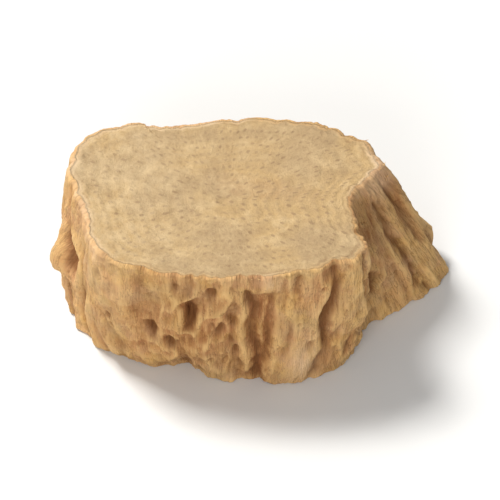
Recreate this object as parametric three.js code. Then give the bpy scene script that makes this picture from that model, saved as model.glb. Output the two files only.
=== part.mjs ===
// A short length of dried cyathula root, cut square across at both ends and standing on its lower cut.
// The upper cut is an oblong with rounded corners and a shrunken middle. The bark round it is furrowed
// lengthways and pitted, a rootlet's stub stands out on the left, and on the right a shoulder spreads
// towards the base, where a side root began.
// Millimetres, +Z up. The origin is the middle of the slice's box, on the lower cut.

import * as THREE from "three";

// Driving dimensions.
const HEIGHT = 12.8; // from the lower cut to the upper cut's rim
const WORN_EDGE = 0.3; // the edges of both cuts are worn back by this much
const FACE_HOLLOW = 0.45; // how far the middle of the upper cut has shrunk below its rim
const FACE_FALL = 0.09; // slope of the upper cut beyond FACE_FALL_X, where the knife left the cut
const FACE_FALL_X = 7.5;
const BELLY = 0.35; // how far the side bulges half-way up
const BOX_MIDDLE = [2.023, 0.309]; // middle of the slice's box in the outline's own coordinates

// The outline of the two cuts, anticlockwise seen from above, from the hollow on the right.
// Each row is one line of bark: x and y at the upper cut, then x and y at the lower cut.
const BARK_LINES = [
  [10.2, -0.2, 13.2, -1.2],
  [11.4, 1.8, 16.8, 1.2],
  [12.4, 3.8, 18.0, 4.0],
  [11.8, 5.8, 15.8, 6.8],
  [10.2, 7.1, 12.4, 8.1],
  [7.6, 8.1, 8.6, 8.5],
  [4.6, 8.5, 4.9, 8.7],
  [1.4, 8.7, 1.6, 8.9],
  [-1.6, 8.2, -1.7, 8.8],
  [-4.2, 7.8, -4.7, 8.4],
  [-7.0, 8.1, -7.7, 8.1],
  [-9.8, 7.5, -10.6, 7.0],
  [-11.6, 5.8, -12.6, 4.9],
  [-12.3, 3.3, -12.9, 2.3],
  [-11.8, 0.5, -12.5, -0.5],
  [-11.1, -2.1, -11.4, -2.8],
  [-10.6, -4.6, -10.1, -4.9],
  [-9.1, -6.7, -8.1, -6.4],
  [-6.3, -7.9, -5.6, -7.2],
  [-2.9, -8.5, -2.4, -8.0],
  [0.8, -8.7, 0.9, -8.4],
  [4.6, -8.4, 4.4, -8.4],
  [8.2, -7.6, 7.5, -7.7],
  [10.7, -6.5, 9.6, -6.5],
  [11.5, -4.8, 10.6, -4.6],
  [10.7, -2.4, 11.2, -2.8],
];

// Wrinkles run all round: how many, how deep, how far they slant over the height (in turns of a wave)
// and where they start.
const WRINKLES = [
  { count: 25, depth: 0.24, slant: 0.35, start: 0.1 },
  { count: 43, depth: 0.12, slant: -0.5, start: 0.6 },
];
// The wrinkles drift to and fro by these waves round the root and up it.
const WRINKLE_DRIFTS = [
  { amount: 0.9, round: 3, up: 2.1, share: 1 },
  { amount: 0.5, round: 7, up: -3.2, share: 0 },
];
const WRINKLE_SWELL = { least: 0.7, amount: 0.3, round: 5, up: 4, share: 7 }; // their depth swells and fades
const WRINKLE_POWER = 0.7; // below 1 it makes ridges broad and furrows narrow
const WRINKLE_MEAN = 0.65; // mean height of such a ridge, taken off so that the root keeps its girth

const SWAY_WAVE = 1.1; // radians of a furrow's wavering for each millimetre of height
const FURROW_FADE = 2; // height over which a furrow fades out at either end

// Single furrows, and with a negative depth single ridges, each placed by its distance round the mean
// outline from the hollow on the right. A furrow slants by lean over its height, and wavers by sway.
const FURROWS = [
  { at: 66.4, lean: 0.9, sway: 0.3, half: 0.65, depth: 1.0, low: -1.0, high: 14.0 },
  { at: 60.4, lean: -1.3, sway: 0.25, half: 0.6, depth: 0.75, low: -1.0, high: 12.4 },
  { at: 63.7, lean: 0.1, sway: 0.1, half: 0.4, depth: 0.4, low: 9.0, high: 14.0 },
  { at: 59.2, lean: -0.4, sway: 0.3, half: 1.1, depth: 0.4, low: -1.0, high: 11.5 },
  { at: 54.6, lean: -0.2, sway: 0.15, half: 0.5, depth: -0.3, low: 3.0, high: 11.0 },
  { at: 55.3, lean: 8.5, sway: 0.0, half: 0.5, depth: -0.3, low: 6.4, high: 12.4 },
  { at: 48.8, lean: -0.8, sway: 0.4, half: 0.5, depth: 0.25, low: -1.0, high: 8.0 },
  { at: 45.1, lean: 0.5, sway: 0.3, half: 0.6, depth: 0.35, low: -1.0, high: 14.0 },
  { at: 69.9, lean: -0.4, sway: 0.2, half: 0.45, depth: 0.5, low: 2.0, high: 14.0 },
  { at: 73.1, lean: 0.3, sway: 0.2, half: 0.9, depth: 0.3, low: -1.0, high: 14.0 },
  { at: 2.8, lean: -0.7, sway: 0.2, half: 0.55, depth: 0.6, low: -1.0, high: 12.0 },
  { at: 6.6, lean: 0.5, sway: 0.3, half: 0.5, depth: 0.7, low: -1.0, high: 10.0 },
  { at: 12.2, lean: -0.5, sway: 0.3, half: 0.6, depth: 0.5, low: -1.0, high: 14.0 },
  { at: 17.4, lean: 0.6, sway: 0.3, half: 0.6, depth: 0.7, low: 1.0, high: 11.5 },
  { at: 21.0, lean: -0.3, sway: 0.2, half: 0.45, depth: 0.6, low: -1.0, high: 8.0 },
  { at: 26.8, lean: 0.5, sway: 0.4, half: 0.8, depth: 0.55, low: -1.0, high: 12.5 },
  { at: 32.1, lean: -0.6, sway: 0.3, half: 0.5, depth: 0.7, low: 2.0, high: 12.0 },
  { at: 37.6, lean: 0.4, sway: 0.3, half: 0.6, depth: 0.8, low: -1.0, high: 11.0 },
];

// Pits in the bark, and with a negative depth the lumps on it, by distance round and height.
const PITS = [
  { at: 52.4, height: 6.1, half: 0.6, tall: 0.95, depth: 0.75 },
  { at: 55.6, height: 8.2, half: 0.5, tall: 1.4, depth: 0.9 },
  { at: 53.9, height: 4.5, half: 0.6, tall: 0.9, depth: 0.7 },
  { at: 57.6, height: 6.9, half: 0.55, tall: 0.9, depth: 0.5 },
  { at: 57.2, height: 11.0, half: 0.5, tall: 0.8, depth: 0.45 },
  { at: 53.2, height: 5.6, half: 0.5, tall: 1.5, depth: -0.3 },
  { at: 56.8, height: 4.8, half: 0.6, tall: 1.1, depth: -0.3 },
  { at: 61.6, height: 11.6, half: 0.7, tall: 1.2, depth: -0.25 },
  { at: 50.1, height: 8.6, half: 1.6, tall: 2.6, depth: -0.35 },
  { at: 63.9, height: 2.2, half: 1.7, tall: 2.2, depth: -0.5 },
  { at: 68.7, height: 6.0, half: 0.8, tall: 3.0, depth: -0.3 },
  { at: 74.5, height: 4.2, half: 0.7, tall: 1.0, depth: 0.6 },
  { at: 9.4, height: 7.4, half: 0.8, tall: 1.2, depth: 0.6 },
  { at: 14.6, height: 4.4, half: 1.4, tall: 1.8, depth: -0.5 },
  { at: 19.6, height: 9.4, half: 0.7, tall: 1.0, depth: 0.7 },
  { at: 29.6, height: 3.4, half: 0.9, tall: 1.1, depth: 0.7 },
  { at: 35.0, height: 8.8, half: 1.3, tall: 2.0, depth: -0.4 },
  { at: 38.4, height: 3.8, half: 0.7, tall: 1.2, depth: 0.6 },
  { at: 42.6, height: 7.9, half: 1.2, tall: 0.8, depth: 0.95 },
];

// Stubs of rootlets: a low knob with a dimple in its middle, DIMPLE times as wide as the knob.
const DIMPLE = 0.4;
const STUBS = [
  { at: 41.3, height: 5.6, radius: 1.0, tall: 1.9, rise: 1.5, dimple: 0.4 },
  { at: 24.0, height: 6.2, radius: 1.25, tall: 1.5, rise: 1.05, dimple: 0.5 },
  { at: 7.9, height: 3.2, radius: 0.9, tall: 1.1, rise: 0.7, dimple: 0.35 },
];

// Chips knocked out of the cuts' edges: on the lower edge, reaching up, or on the upper edge, reaching down.
const CHIPS = [
  { at: 54.7, edge: 0.0, half: 1.7, tall: 2.1, depth: 1.5 },
  { at: 31.0, edge: 0.0, half: 1.3, tall: 1.4, depth: 0.9 },
  { at: 71.7, edge: 1.0, half: 0.9, tall: 1.4, depth: 0.3 },
];

// Inside this share of the upper cut, its rings have lost the bark's relief.
const SMOOTH_SHARE = 0.6;

// How finely the faceted solid follows these shapes.
const COLUMNS = 144;
const SIDE_ROWS = 22;
const FACE_RINGS = [
  { share: 0.95, columns: 144 },
  { share: 0.82, columns: 72 },
  { share: 0.64, columns: 72 },
  { share: 0.44, columns: 36 },
  { share: 0.22, columns: 18 },
];

const BARK_COLOUR = "#c79a66";
const BARK_ROUGHNESS = 0.9;

// A closed smooth curve through one pair of columns of BARK_LINES, or through the mean of both pairs.
function outline(weightUpper) {
  const points = BARK_LINES.map(
    ([upperX, upperY, lowerX, lowerY]) =>
      new THREE.Vector3(
        lowerX + (upperX - lowerX) * weightUpper,
        lowerY + (upperY - lowerY) * weightUpper,
        0,
      ),
  );
  return new THREE.CatmullRomCurve3(points, true, "catmullrom", 0.5);
}

const upperCut = outline(1);
const lowerCut = outline(0);
const meanOutline = outline(0.5);
const GIRTH = meanOutline.getLength();

// The shortest way round from one distance to another, with its sign.
function roundTo(along, at) {
  const apart = along - at;
  return apart - GIRTH * Math.round(apart / GIRTH);
}

// A hump of height 1 that falls away smoothly on both sides.
const hump = (distance, half) => Math.exp(-((distance / half) ** 2));

// A smooth step from 0 to 1 between two values.
const step = (value, low, high) => THREE.MathUtils.smoothstep(value, low, high);

// The wrinkles' relief: rounded ridges with narrow furrows between them, stronger here and weaker there.
function wrinkleRelief(along, height) {
  const turn = (2 * Math.PI * along) / GIRTH;
  const rise = height / HEIGHT;
  const swing = ({ amount, round, up, share }, start) =>
    amount * Math.sin(round * turn + up * rise + share * start);
  let relief = 0;
  for (const { count, depth, slant, start } of WRINKLES) {
    const drift = WRINKLE_DRIFTS.reduce((sum, wave) => sum + swing(wave, start), 0);
    const wave = Math.abs(Math.sin((count * turn) / 2 + Math.PI * (slant * rise + start) + drift));
    const strength = WRINKLE_SWELL.least + swing(WRINKLE_SWELL, start);
    relief += depth * strength * (Math.pow(wave, WRINKLE_POWER) - WRINKLE_MEAN);
  }
  return relief;
}

// All that stands out of the side or is sunk in it, in millimetres outwards.
function barkRelief(along, height) {
  let relief = wrinkleRelief(along, height) + BELLY * Math.sin((Math.PI * height) / HEIGHT);
  for (const { at, lean, sway, half, depth, low, high } of FURROWS) {
    const centre = at + lean * (height / HEIGHT - 0.5) + sway * Math.sin(SWAY_WAVE * height + at);
    const reach = step(height, low, low + FURROW_FADE) * (1 - step(height, high - FURROW_FADE, high));
    relief -= depth * reach * hump(roundTo(along, centre), half);
  }
  for (const { at, height: middle, half, tall, depth } of PITS)
    relief -= depth * hump(roundTo(along, at), half) * hump(height - middle, tall);
  for (const { at, height: middle, radius, tall, rise, dimple } of STUBS) {
    const away = Math.hypot(roundTo(along, at) / radius, (height - middle) / tall);
    relief += rise * hump(away, 1) - dimple * hump(away, DIMPLE);
  }
  for (const { at, edge, half, tall, depth } of CHIPS)
    relief -= depth * hump(roundTo(along, at), half) * hump(height - edge * HEIGHT, tall);
  return relief;
}

// The height of the upper cut, where share is 1 at the rim and 0 in the middle.
function faceHeight(x, share) {
  return HEIGHT - FACE_HOLLOW * (1 - share ** 2) - FACE_FALL * Math.max(0, x - FACE_FALL_X);
}

// A point of the smooth outline with no relief, a share of the height up, with its outward direction.
function outlinePoint(along, share) {
  const t = meanOutline.getUtoTmapping((along / GIRTH) % 1);
  const point = lowerCut.getPoint(t).lerp(upperCut.getPoint(t), share);
  const tangent = lowerCut.getTangent(t).lerp(upperCut.getTangent(t), share).normalize();
  return { point, outward: new THREE.Vector3(tangent.y, -tangent.x, 0) };
}

// A point of the bark. The first and last rows step in by the worn edge.
function barkPoint(along, row) {
  const lastRow = SIDE_ROWS - 1;
  const atEdge = row === 0 || row === lastRow;
  const share = row === 0 ? 0 : row === lastRow ? 1 : edgeShare(row);
  const { point, outward } = outlinePoint(along, share);
  const rim = faceHeight(point.x, 1);
  const height = share * rim;
  const relief = barkRelief(along, share * HEIGHT) - (atEdge ? WORN_EDGE : 0);
  return point.addScaledVector(outward, relief).setZ(height);
}

// Shares of the height for the rows between the two worn edges.
function edgeShare(row) {
  const worn = WORN_EDGE / HEIGHT;
  return worn + ((row - 1) / (SIDE_ROWS - 3)) * (1 - 2 * worn);
}

// One ring of the upper cut: the rim drawn in towards the middle, smoother the further in it lies.
function faceRing(rim, { share, columns }) {
  const stride = COLUMNS / columns;
  const ring = [];
  for (let column = 0; column < COLUMNS; column += stride) {
    const { point } = outlinePoint((column / COLUMNS) * GIRTH, 1);
    const rough = step(share, SMOOTH_SHARE, 1);
    const x = share * THREE.MathUtils.lerp(point.x, rim[column].x, rough);
    const y = share * THREE.MathUtils.lerp(point.y, rim[column].y, rough);
    ring.push(new THREE.Vector3(x, y, faceHeight(x, share)));
  }
  return ring;
}

// Vertices and triangles of the whole closed surface.
function sliceGeometry() {
  const vertices = [];
  const triangles = [];
  const add = (ring) => ring.map((point) => vertices.push(point) - 1);

  // Joins an outer ring to an inner one that has as many columns, or a whole number of times fewer.
  const join = (outer, inner) => {
    const ratio = outer.length / inner.length;
    for (let i = 0; i < inner.length; i += 1) {
      const next = (i + 1) % inner.length;
      for (let k = 0; k < ratio; k += 1) {
        const from = i * ratio + k;
        triangles.push([outer[from], outer[(from + 1) % outer.length], inner[i]]);
      }
      triangles.push([outer[((i + 1) * ratio) % outer.length], inner[next], inner[i]]);
    }
  };

  const sideRows = [];
  for (let row = 0; row < SIDE_ROWS; row += 1)
    sideRows.push(Array.from({ length: COLUMNS }, (_, column) => barkPoint((column / COLUMNS) * GIRTH, row)));
  const rim = sideRows[SIDE_ROWS - 1];
  let previous = add(sideRows[0]);
  const foot = previous;
  for (const ring of [...sideRows.slice(1), ...FACE_RINGS.map((spec) => faceRing(rim, spec))]) {
    const indices = add(ring);
    join(previous, indices);
    previous = indices;
  }
  const middle = vertices.push(new THREE.Vector3(0, 0, faceHeight(0, 0))) - 1;
  previous.forEach((from, i) => triangles.push([from, previous[(i + 1) % previous.length], middle]));

  const footOutline = sideRows[0].map(({ x, y }) => new THREE.Vector2(x, y));
  for (const [a, b, c] of THREE.ShapeUtils.triangulateShape(footOutline, []))
    triangles.push([foot[a], foot[c], foot[b]]);

  const positions = vertices.flatMap(({ x, y, z }) => [x - BOX_MIDDLE[0], y - BOX_MIDDLE[1], z]);
  const geometry = new THREE.BufferGeometry();
  geometry.setAttribute("position", new THREE.Float32BufferAttribute(positions, 3));
  geometry.setIndex(triangles.flat());
  geometry.computeVertexNormals();
  return geometry;
}

const bark = new THREE.MeshStandardMaterial({ color: BARK_COLOUR, roughness: BARK_ROUGHNESS, metalness: 0 });
const rootSlice = new THREE.Mesh(sliceGeometry(), bark);
rootSlice.name = "root_slice";

const cyathulaRoot = new THREE.Group();
cyathulaRoot.add(rootSlice);

export default cyathulaRoot;
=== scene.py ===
"""The finish of a dried slice of cyathula root, standing on its lower cut.

The slice is one closed surface. Its bark is a function of the distance round and the height, and its two
cuts are functions of the distance round and the share of the way out from the middle. Lengths inside the
shape's classes are millimetres, and become metres as they go into the mesh.
"""

import itertools
import logging
import math
from collections.abc import Sequence
from dataclasses import dataclass, field
from enum import Enum

import bpy
import numpy as np
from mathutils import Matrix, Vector


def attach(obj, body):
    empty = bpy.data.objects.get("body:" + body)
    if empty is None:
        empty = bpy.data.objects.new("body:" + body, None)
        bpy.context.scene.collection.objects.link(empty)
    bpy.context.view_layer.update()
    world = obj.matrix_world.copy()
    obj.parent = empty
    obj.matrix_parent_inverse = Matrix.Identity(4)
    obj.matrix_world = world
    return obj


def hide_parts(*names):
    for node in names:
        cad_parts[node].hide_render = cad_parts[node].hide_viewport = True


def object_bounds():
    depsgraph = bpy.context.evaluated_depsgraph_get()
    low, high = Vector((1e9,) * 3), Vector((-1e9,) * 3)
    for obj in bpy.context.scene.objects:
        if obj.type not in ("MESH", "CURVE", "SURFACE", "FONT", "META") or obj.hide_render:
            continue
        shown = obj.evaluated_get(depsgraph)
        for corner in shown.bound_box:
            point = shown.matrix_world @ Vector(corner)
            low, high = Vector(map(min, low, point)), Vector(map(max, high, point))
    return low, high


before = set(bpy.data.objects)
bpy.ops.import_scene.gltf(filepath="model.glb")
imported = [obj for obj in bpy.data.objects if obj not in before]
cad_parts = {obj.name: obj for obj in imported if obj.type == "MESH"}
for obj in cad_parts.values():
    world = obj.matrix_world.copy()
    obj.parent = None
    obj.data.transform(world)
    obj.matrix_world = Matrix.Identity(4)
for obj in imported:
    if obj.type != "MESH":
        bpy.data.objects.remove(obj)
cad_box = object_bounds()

log = logging.getLogger("root_slice")

MM = 0.001
NOISE_TABLE = 256
NOISE_GAIN = 1.6
LAYERS_GAIN = 1.6
BLUR_TAPER = 1.6

Array = np.ndarray
Triple = tuple[float, float, float]
Colour = Triple
Socket = bpy.types.NodeSocket
Tree = bpy.types.NodeTree
Tint = tuple[Socket, float, Colour]


class Place(Enum):
    """The three stretches of the slice's surface."""

    LOWER_CUT = "lower cut"
    BARK = "bark"
    UPPER_CUT = "upper cut"


def hump(distance: Array, half: float) -> Array:
    """Return a hump of height 1 that falls away smoothly: e to the minus (distance over half) squared."""
    return np.exp(-((distance / half) ** 2))


def step(value: Array, low: float, high: float) -> Array:
    """Return a smooth step from 0 at low to 1 at high: 3 t squared minus 2 t cubed."""
    t = np.clip((value - low) / (high - low), 0.0, 1.0)
    return t * t * (3.0 - 2.0 * t)


def gradient_noise(points: Array, seed: int) -> Array:
    """Return smooth noise between about -1 and 1, one value a point.

    Every corner of a unit lattice has its own random direction. A point takes the dot product of each of
    its eight corners' directions with its offset from that corner, mixed by quintic weights.

    Args:
        points: Points in lattice units, with the three coordinates last.
        seed: Which noise this is.

    Returns:
        An array of the points' shape without its last axis.
    """
    rng = np.random.default_rng(seed)
    order = rng.permutation(NOISE_TABLE)
    directions = rng.normal(size=(NOISE_TABLE, 3))
    directions /= np.linalg.norm(directions, axis=1, keepdims=True)
    cell = np.floor(points).astype(np.int64)
    offset = points - cell
    weight = offset**3 * (offset * (offset * 6.0 - 15.0) + 10.0)
    total = np.zeros(points.shape[:-1])
    for corner in itertools.product((0, 1), repeat=3):
        at = cell + corner
        key = order[at[..., 0] % NOISE_TABLE]
        key = order[(key + at[..., 1]) % NOISE_TABLE]
        key = order[(key + at[..., 2]) % NOISE_TABLE]
        share = np.prod(np.where(corner, weight, 1.0 - weight), axis=-1)
        total += share * np.sum(directions[key] * (offset - corner), axis=-1)
    return NOISE_GAIN * total


def layered_noise(points: Array, seed: int, layers: int = 4) -> Array:
    """Return noise summed over layers, each twice as fine and half as strong as the one before."""
    total = sum(gradient_noise(points * 2.0**layer, seed + layer) / 2.0**layer for layer in range(layers))
    return total / LAYERS_GAIN


def spread(values: Array, columns: int, rows: int) -> Array:
    """Blur a grid whose first axis is the height and whose second runs round and closes on itself.

    Args:
        values: The grid.
        columns: How far the blur reaches round, in columns.
        rows: How far it reaches up and down, in rows.

    Returns:
        The blurred grid, by a bell-shaped weight along each axis.
    """
    taps = np.arange(-columns, columns + 1)
    weights = hump(taps, columns / BLUR_TAPER)
    out = sum(weight * np.roll(values, tap, axis=1) for tap, weight in zip(taps, weights)) / weights.sum()
    taps = np.arange(-rows, rows + 1)
    weights = hump(taps, rows / BLUR_TAPER)
    padded = np.pad(out, ((rows, rows), (0, 0)), mode="edge")
    height = len(values)
    return sum(w * padded[rows + tap : rows + tap + height] for tap, w in zip(taps, weights)) / weights.sum()


@dataclass(frozen=True)
class Swing:
    """A sine wave that runs round the root and up it, shifted by a share of the wrinkles' start."""

    amount: float
    turns: int
    up: float
    share: float

    def value(self, turn: Array, rise: Array, start: float) -> Array:
        """Return the wave at an angle round the root and a share of its height."""
        return self.amount * np.sin(self.turns * turn + self.up * rise + self.share * start)


@dataclass(frozen=True)
class Wrinkles:
    """Rounded ridges all round the bark, with narrow furrows between them."""

    count: int
    depth: float
    slant: float
    start: float
    drifts: tuple[Swing, ...] = (
        Swing(amount=0.9, turns=3, up=2.1, share=1.0),
        Swing(amount=0.5, turns=7, up=-3.2, share=0.0),
    )
    swell: Swing = Swing(amount=0.3, turns=5, up=4.0, share=7.0)
    least: float = 0.7
    power: float = 0.7
    mean: float = 0.65

    def relief(self, turn: Array, rise: Array) -> Array:
        """Return the relief: a power of a rectified sine wave, less its mean.

        Swings round the bark make the wave drift and swell.

        Args:
            turn: Angle round the root.
            rise: Share of the height.

        Returns:
            Millimetres outwards.
        """
        drift = sum(wave.value(turn, rise, self.start) for wave in self.drifts)
        wave = np.abs(np.sin(self.count * turn / 2 + np.pi * (self.slant * rise + self.start) + drift))
        strength = self.least + self.swell.value(turn, rise, self.start)
        return self.depth * strength * (wave**self.power - self.mean)


@dataclass(frozen=True)
class Furrow:
    """A furrow, or with a negative depth a ridge, which slants by lean over the height and wavers by sway."""

    at: float
    lean: float
    sway: float
    half: float
    depth: float
    low: float
    high: float

    def relief(self, shape: "RootShape", along: Array, height: Array) -> Array:
        """Return the relief: a groove with the section of a hump, which fades out at both ends.

        Args:
            shape: The slice's form, which knows the way round.
            along: Distance round.
            height: Height up the root.

        Returns:
            Millimetres outwards.
        """
        wavering = self.sway * np.sin(shape.sway_wave * height + self.at)
        centre = self.at + self.lean * (height / shape.height - 0.5) + wavering
        fade = shape.furrow_fade
        reach = step(height, self.low, self.low + fade) * (1 - step(height, self.high - fade, self.high))
        return -self.depth * reach * hump(shape.round_to(along, centre), self.half)


@dataclass(frozen=True)
class Pit:
    """A pit in the bark, or with a negative depth a lump on it."""

    at: float
    height: float
    half: float
    tall: float
    depth: float

    def relief(self, shape: "RootShape", along: Array, height: Array) -> Array:
        """Return the relief: the depth times a hump round the bark and a hump up it."""
        across = hump(shape.round_to(along, self.at), self.half)
        return -self.depth * across * hump(height - self.height, self.tall)


@dataclass(frozen=True)
class Stub:
    """The stub of a rootlet: a low knob with a dimple in its middle."""

    at: float
    height: float
    radius: float
    tall: float
    rise: float
    dimple: float

    def relief(self, shape: "RootShape", along: Array, height: Array) -> Array:
        """Return the relief: a hump over an oval, less a narrower hump in its middle."""
        away = np.hypot(shape.round_to(along, self.at) / self.radius, (height - self.height) / self.tall)
        return self.rise * hump(away, 1.0) - self.dimple * hump(away, shape.dimple_share)


@dataclass(frozen=True)
class Chip:
    """A chip knocked out of a cut's edge, where edge is 0 on the lower cut and 1 on the upper one."""

    at: float
    edge: float
    half: float
    tall: float
    depth: float

    def relief(self, shape: "RootShape", along: Array, height: Array) -> Array:
        """Return the relief: a hump sunk in the bark, with its middle on the cut's edge."""
        above = height - self.edge * shape.height
        return -self.depth * hump(shape.round_to(along, self.at), self.half) * hump(above, self.tall)


@dataclass(frozen=True)
class Patch:
    """A soft patch of the bark. It runs all the way up, unless it is given a height and how tall it is."""

    at: float
    half: float
    strength: float = 1.0
    height: float = 0.0
    tall: float = math.inf

    def value(self, shape: "RootShape", along: Array, height: Array) -> Array:
        """Return the strength times a hump round the bark and a hump up it."""
        across = hump(shape.round_to(along, self.at), self.half)
        return self.strength * across * hump(height - self.height, self.tall)


# The outline of the two cuts, anticlockwise seen from above, from the hollow on the right.
# Each row is one line of bark: x and y at the upper cut, then x and y at the lower cut.
BARK_LINES = np.array([
    [10.2, -0.2, 13.2, -1.2],
    [11.4, 1.8, 16.8, 1.2],
    [12.4, 3.8, 18.0, 4.0],
    [11.8, 5.8, 15.8, 6.8],
    [10.2, 7.1, 12.4, 8.1],
    [7.6, 8.1, 8.6, 8.5],
    [4.6, 8.5, 4.9, 8.7],
    [1.4, 8.7, 1.6, 8.9],
    [-1.6, 8.2, -1.7, 8.8],
    [-4.2, 7.8, -4.7, 8.4],
    [-7.0, 8.1, -7.7, 8.1],
    [-9.8, 7.5, -10.6, 7.0],
    [-11.6, 5.8, -12.6, 4.9],
    [-12.3, 3.3, -12.9, 2.3],
    [-11.8, 0.5, -12.5, -0.5],
    [-11.1, -2.1, -11.4, -2.8],
    [-10.6, -4.6, -10.1, -4.9],
    [-9.1, -6.7, -8.1, -6.4],
    [-6.3, -7.9, -5.6, -7.2],
    [-2.9, -8.5, -2.4, -8.0],
    [0.8, -8.7, 0.9, -8.4],
    [4.6, -8.4, 4.4, -8.4],
    [8.2, -7.6, 7.5, -7.7],
    [10.7, -6.5, 9.6, -6.5],
    [11.5, -4.8, 10.6, -4.6],
    [10.7, -2.4, 11.2, -2.8],
])

WRINKLES = (
    Wrinkles(count=25, depth=0.24, slant=0.35, start=0.1),
    Wrinkles(count=43, depth=0.12, slant=-0.5, start=0.6),
)

FURROWS = (
    Furrow(at=66.4, lean=0.9, sway=0.3, half=0.65, depth=1.0, low=-1.0, high=14.0),
    Furrow(at=60.4, lean=-1.3, sway=0.25, half=0.6, depth=0.75, low=-1.0, high=12.4),
    Furrow(at=63.7, lean=0.1, sway=0.1, half=0.4, depth=0.4, low=9.0, high=14.0),
    Furrow(at=59.2, lean=-0.4, sway=0.3, half=1.1, depth=0.4, low=-1.0, high=11.5),
    Furrow(at=54.6, lean=-0.2, sway=0.15, half=0.5, depth=-0.3, low=3.0, high=11.0),
    Furrow(at=55.3, lean=8.5, sway=0.0, half=0.5, depth=-0.3, low=6.4, high=12.4),
    Furrow(at=48.8, lean=-0.8, sway=0.4, half=0.5, depth=0.25, low=-1.0, high=8.0),
    Furrow(at=45.1, lean=0.5, sway=0.3, half=0.6, depth=0.35, low=-1.0, high=14.0),
    Furrow(at=69.9, lean=-0.4, sway=0.2, half=0.45, depth=0.5, low=2.0, high=14.0),
    Furrow(at=73.1, lean=0.3, sway=0.2, half=0.9, depth=0.3, low=-1.0, high=14.0),
    Furrow(at=2.8, lean=-0.7, sway=0.2, half=0.55, depth=0.6, low=-1.0, high=12.0),
    Furrow(at=6.6, lean=0.5, sway=0.3, half=0.5, depth=0.7, low=-1.0, high=10.0),
    Furrow(at=12.2, lean=-0.5, sway=0.3, half=0.6, depth=0.5, low=-1.0, high=14.0),
    Furrow(at=17.4, lean=0.6, sway=0.3, half=0.6, depth=0.7, low=1.0, high=11.5),
    Furrow(at=21.0, lean=-0.3, sway=0.2, half=0.45, depth=0.6, low=-1.0, high=8.0),
    Furrow(at=26.8, lean=0.5, sway=0.4, half=0.8, depth=0.55, low=-1.0, high=12.5),
    Furrow(at=32.1, lean=-0.6, sway=0.3, half=0.5, depth=0.7, low=2.0, high=12.0),
    Furrow(at=37.6, lean=0.4, sway=0.3, half=0.6, depth=0.8, low=-1.0, high=11.0),
)

PITS = (
    Pit(at=52.4, height=6.1, half=0.6, tall=0.95, depth=0.75),
    Pit(at=55.6, height=8.2, half=0.5, tall=1.4, depth=0.9),
    Pit(at=53.9, height=4.5, half=0.6, tall=0.9, depth=0.7),
    Pit(at=57.6, height=6.9, half=0.55, tall=0.9, depth=0.5),
    Pit(at=57.2, height=11.0, half=0.5, tall=0.8, depth=0.45),
    Pit(at=53.2, height=5.6, half=0.5, tall=1.5, depth=-0.3),
    Pit(at=56.8, height=4.8, half=0.6, tall=1.1, depth=-0.3),
    Pit(at=61.6, height=11.6, half=0.7, tall=1.2, depth=-0.25),
    Pit(at=50.1, height=8.6, half=1.6, tall=2.6, depth=-0.35),
    Pit(at=63.9, height=2.2, half=1.7, tall=2.2, depth=-0.5),
    Pit(at=68.7, height=6.0, half=0.8, tall=3.0, depth=-0.3),
    Pit(at=74.5, height=4.2, half=0.7, tall=1.0, depth=0.6),
    Pit(at=9.4, height=7.4, half=0.8, tall=1.2, depth=0.6),
    Pit(at=14.6, height=4.4, half=1.4, tall=1.8, depth=-0.5),
    Pit(at=19.6, height=9.4, half=0.7, tall=1.0, depth=0.7),
    Pit(at=29.6, height=3.4, half=0.9, tall=1.1, depth=0.7),
    Pit(at=35.0, height=8.8, half=1.3, tall=2.0, depth=-0.4),
    Pit(at=38.4, height=3.8, half=0.7, tall=1.2, depth=0.6),
    Pit(at=42.6, height=7.9, half=1.2, tall=0.8, depth=0.95),
)

STUBS = (
    Stub(at=41.3, height=5.6, radius=1.0, tall=1.9, rise=1.5, dimple=0.4),
    Stub(at=24.0, height=6.2, radius=1.25, tall=1.5, rise=1.05, dimple=0.5),
    Stub(at=7.9, height=3.2, radius=0.9, tall=1.1, rise=0.7, dimple=0.35),
)

CHIPS = (
    Chip(at=54.7, edge=0.0, half=1.7, tall=2.1, depth=1.5),
    Chip(at=31.0, edge=0.0, half=1.3, tall=1.4, depth=0.9),
    Chip(at=71.7, edge=1.0, half=0.9, tall=1.4, depth=0.3),
)

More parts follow.
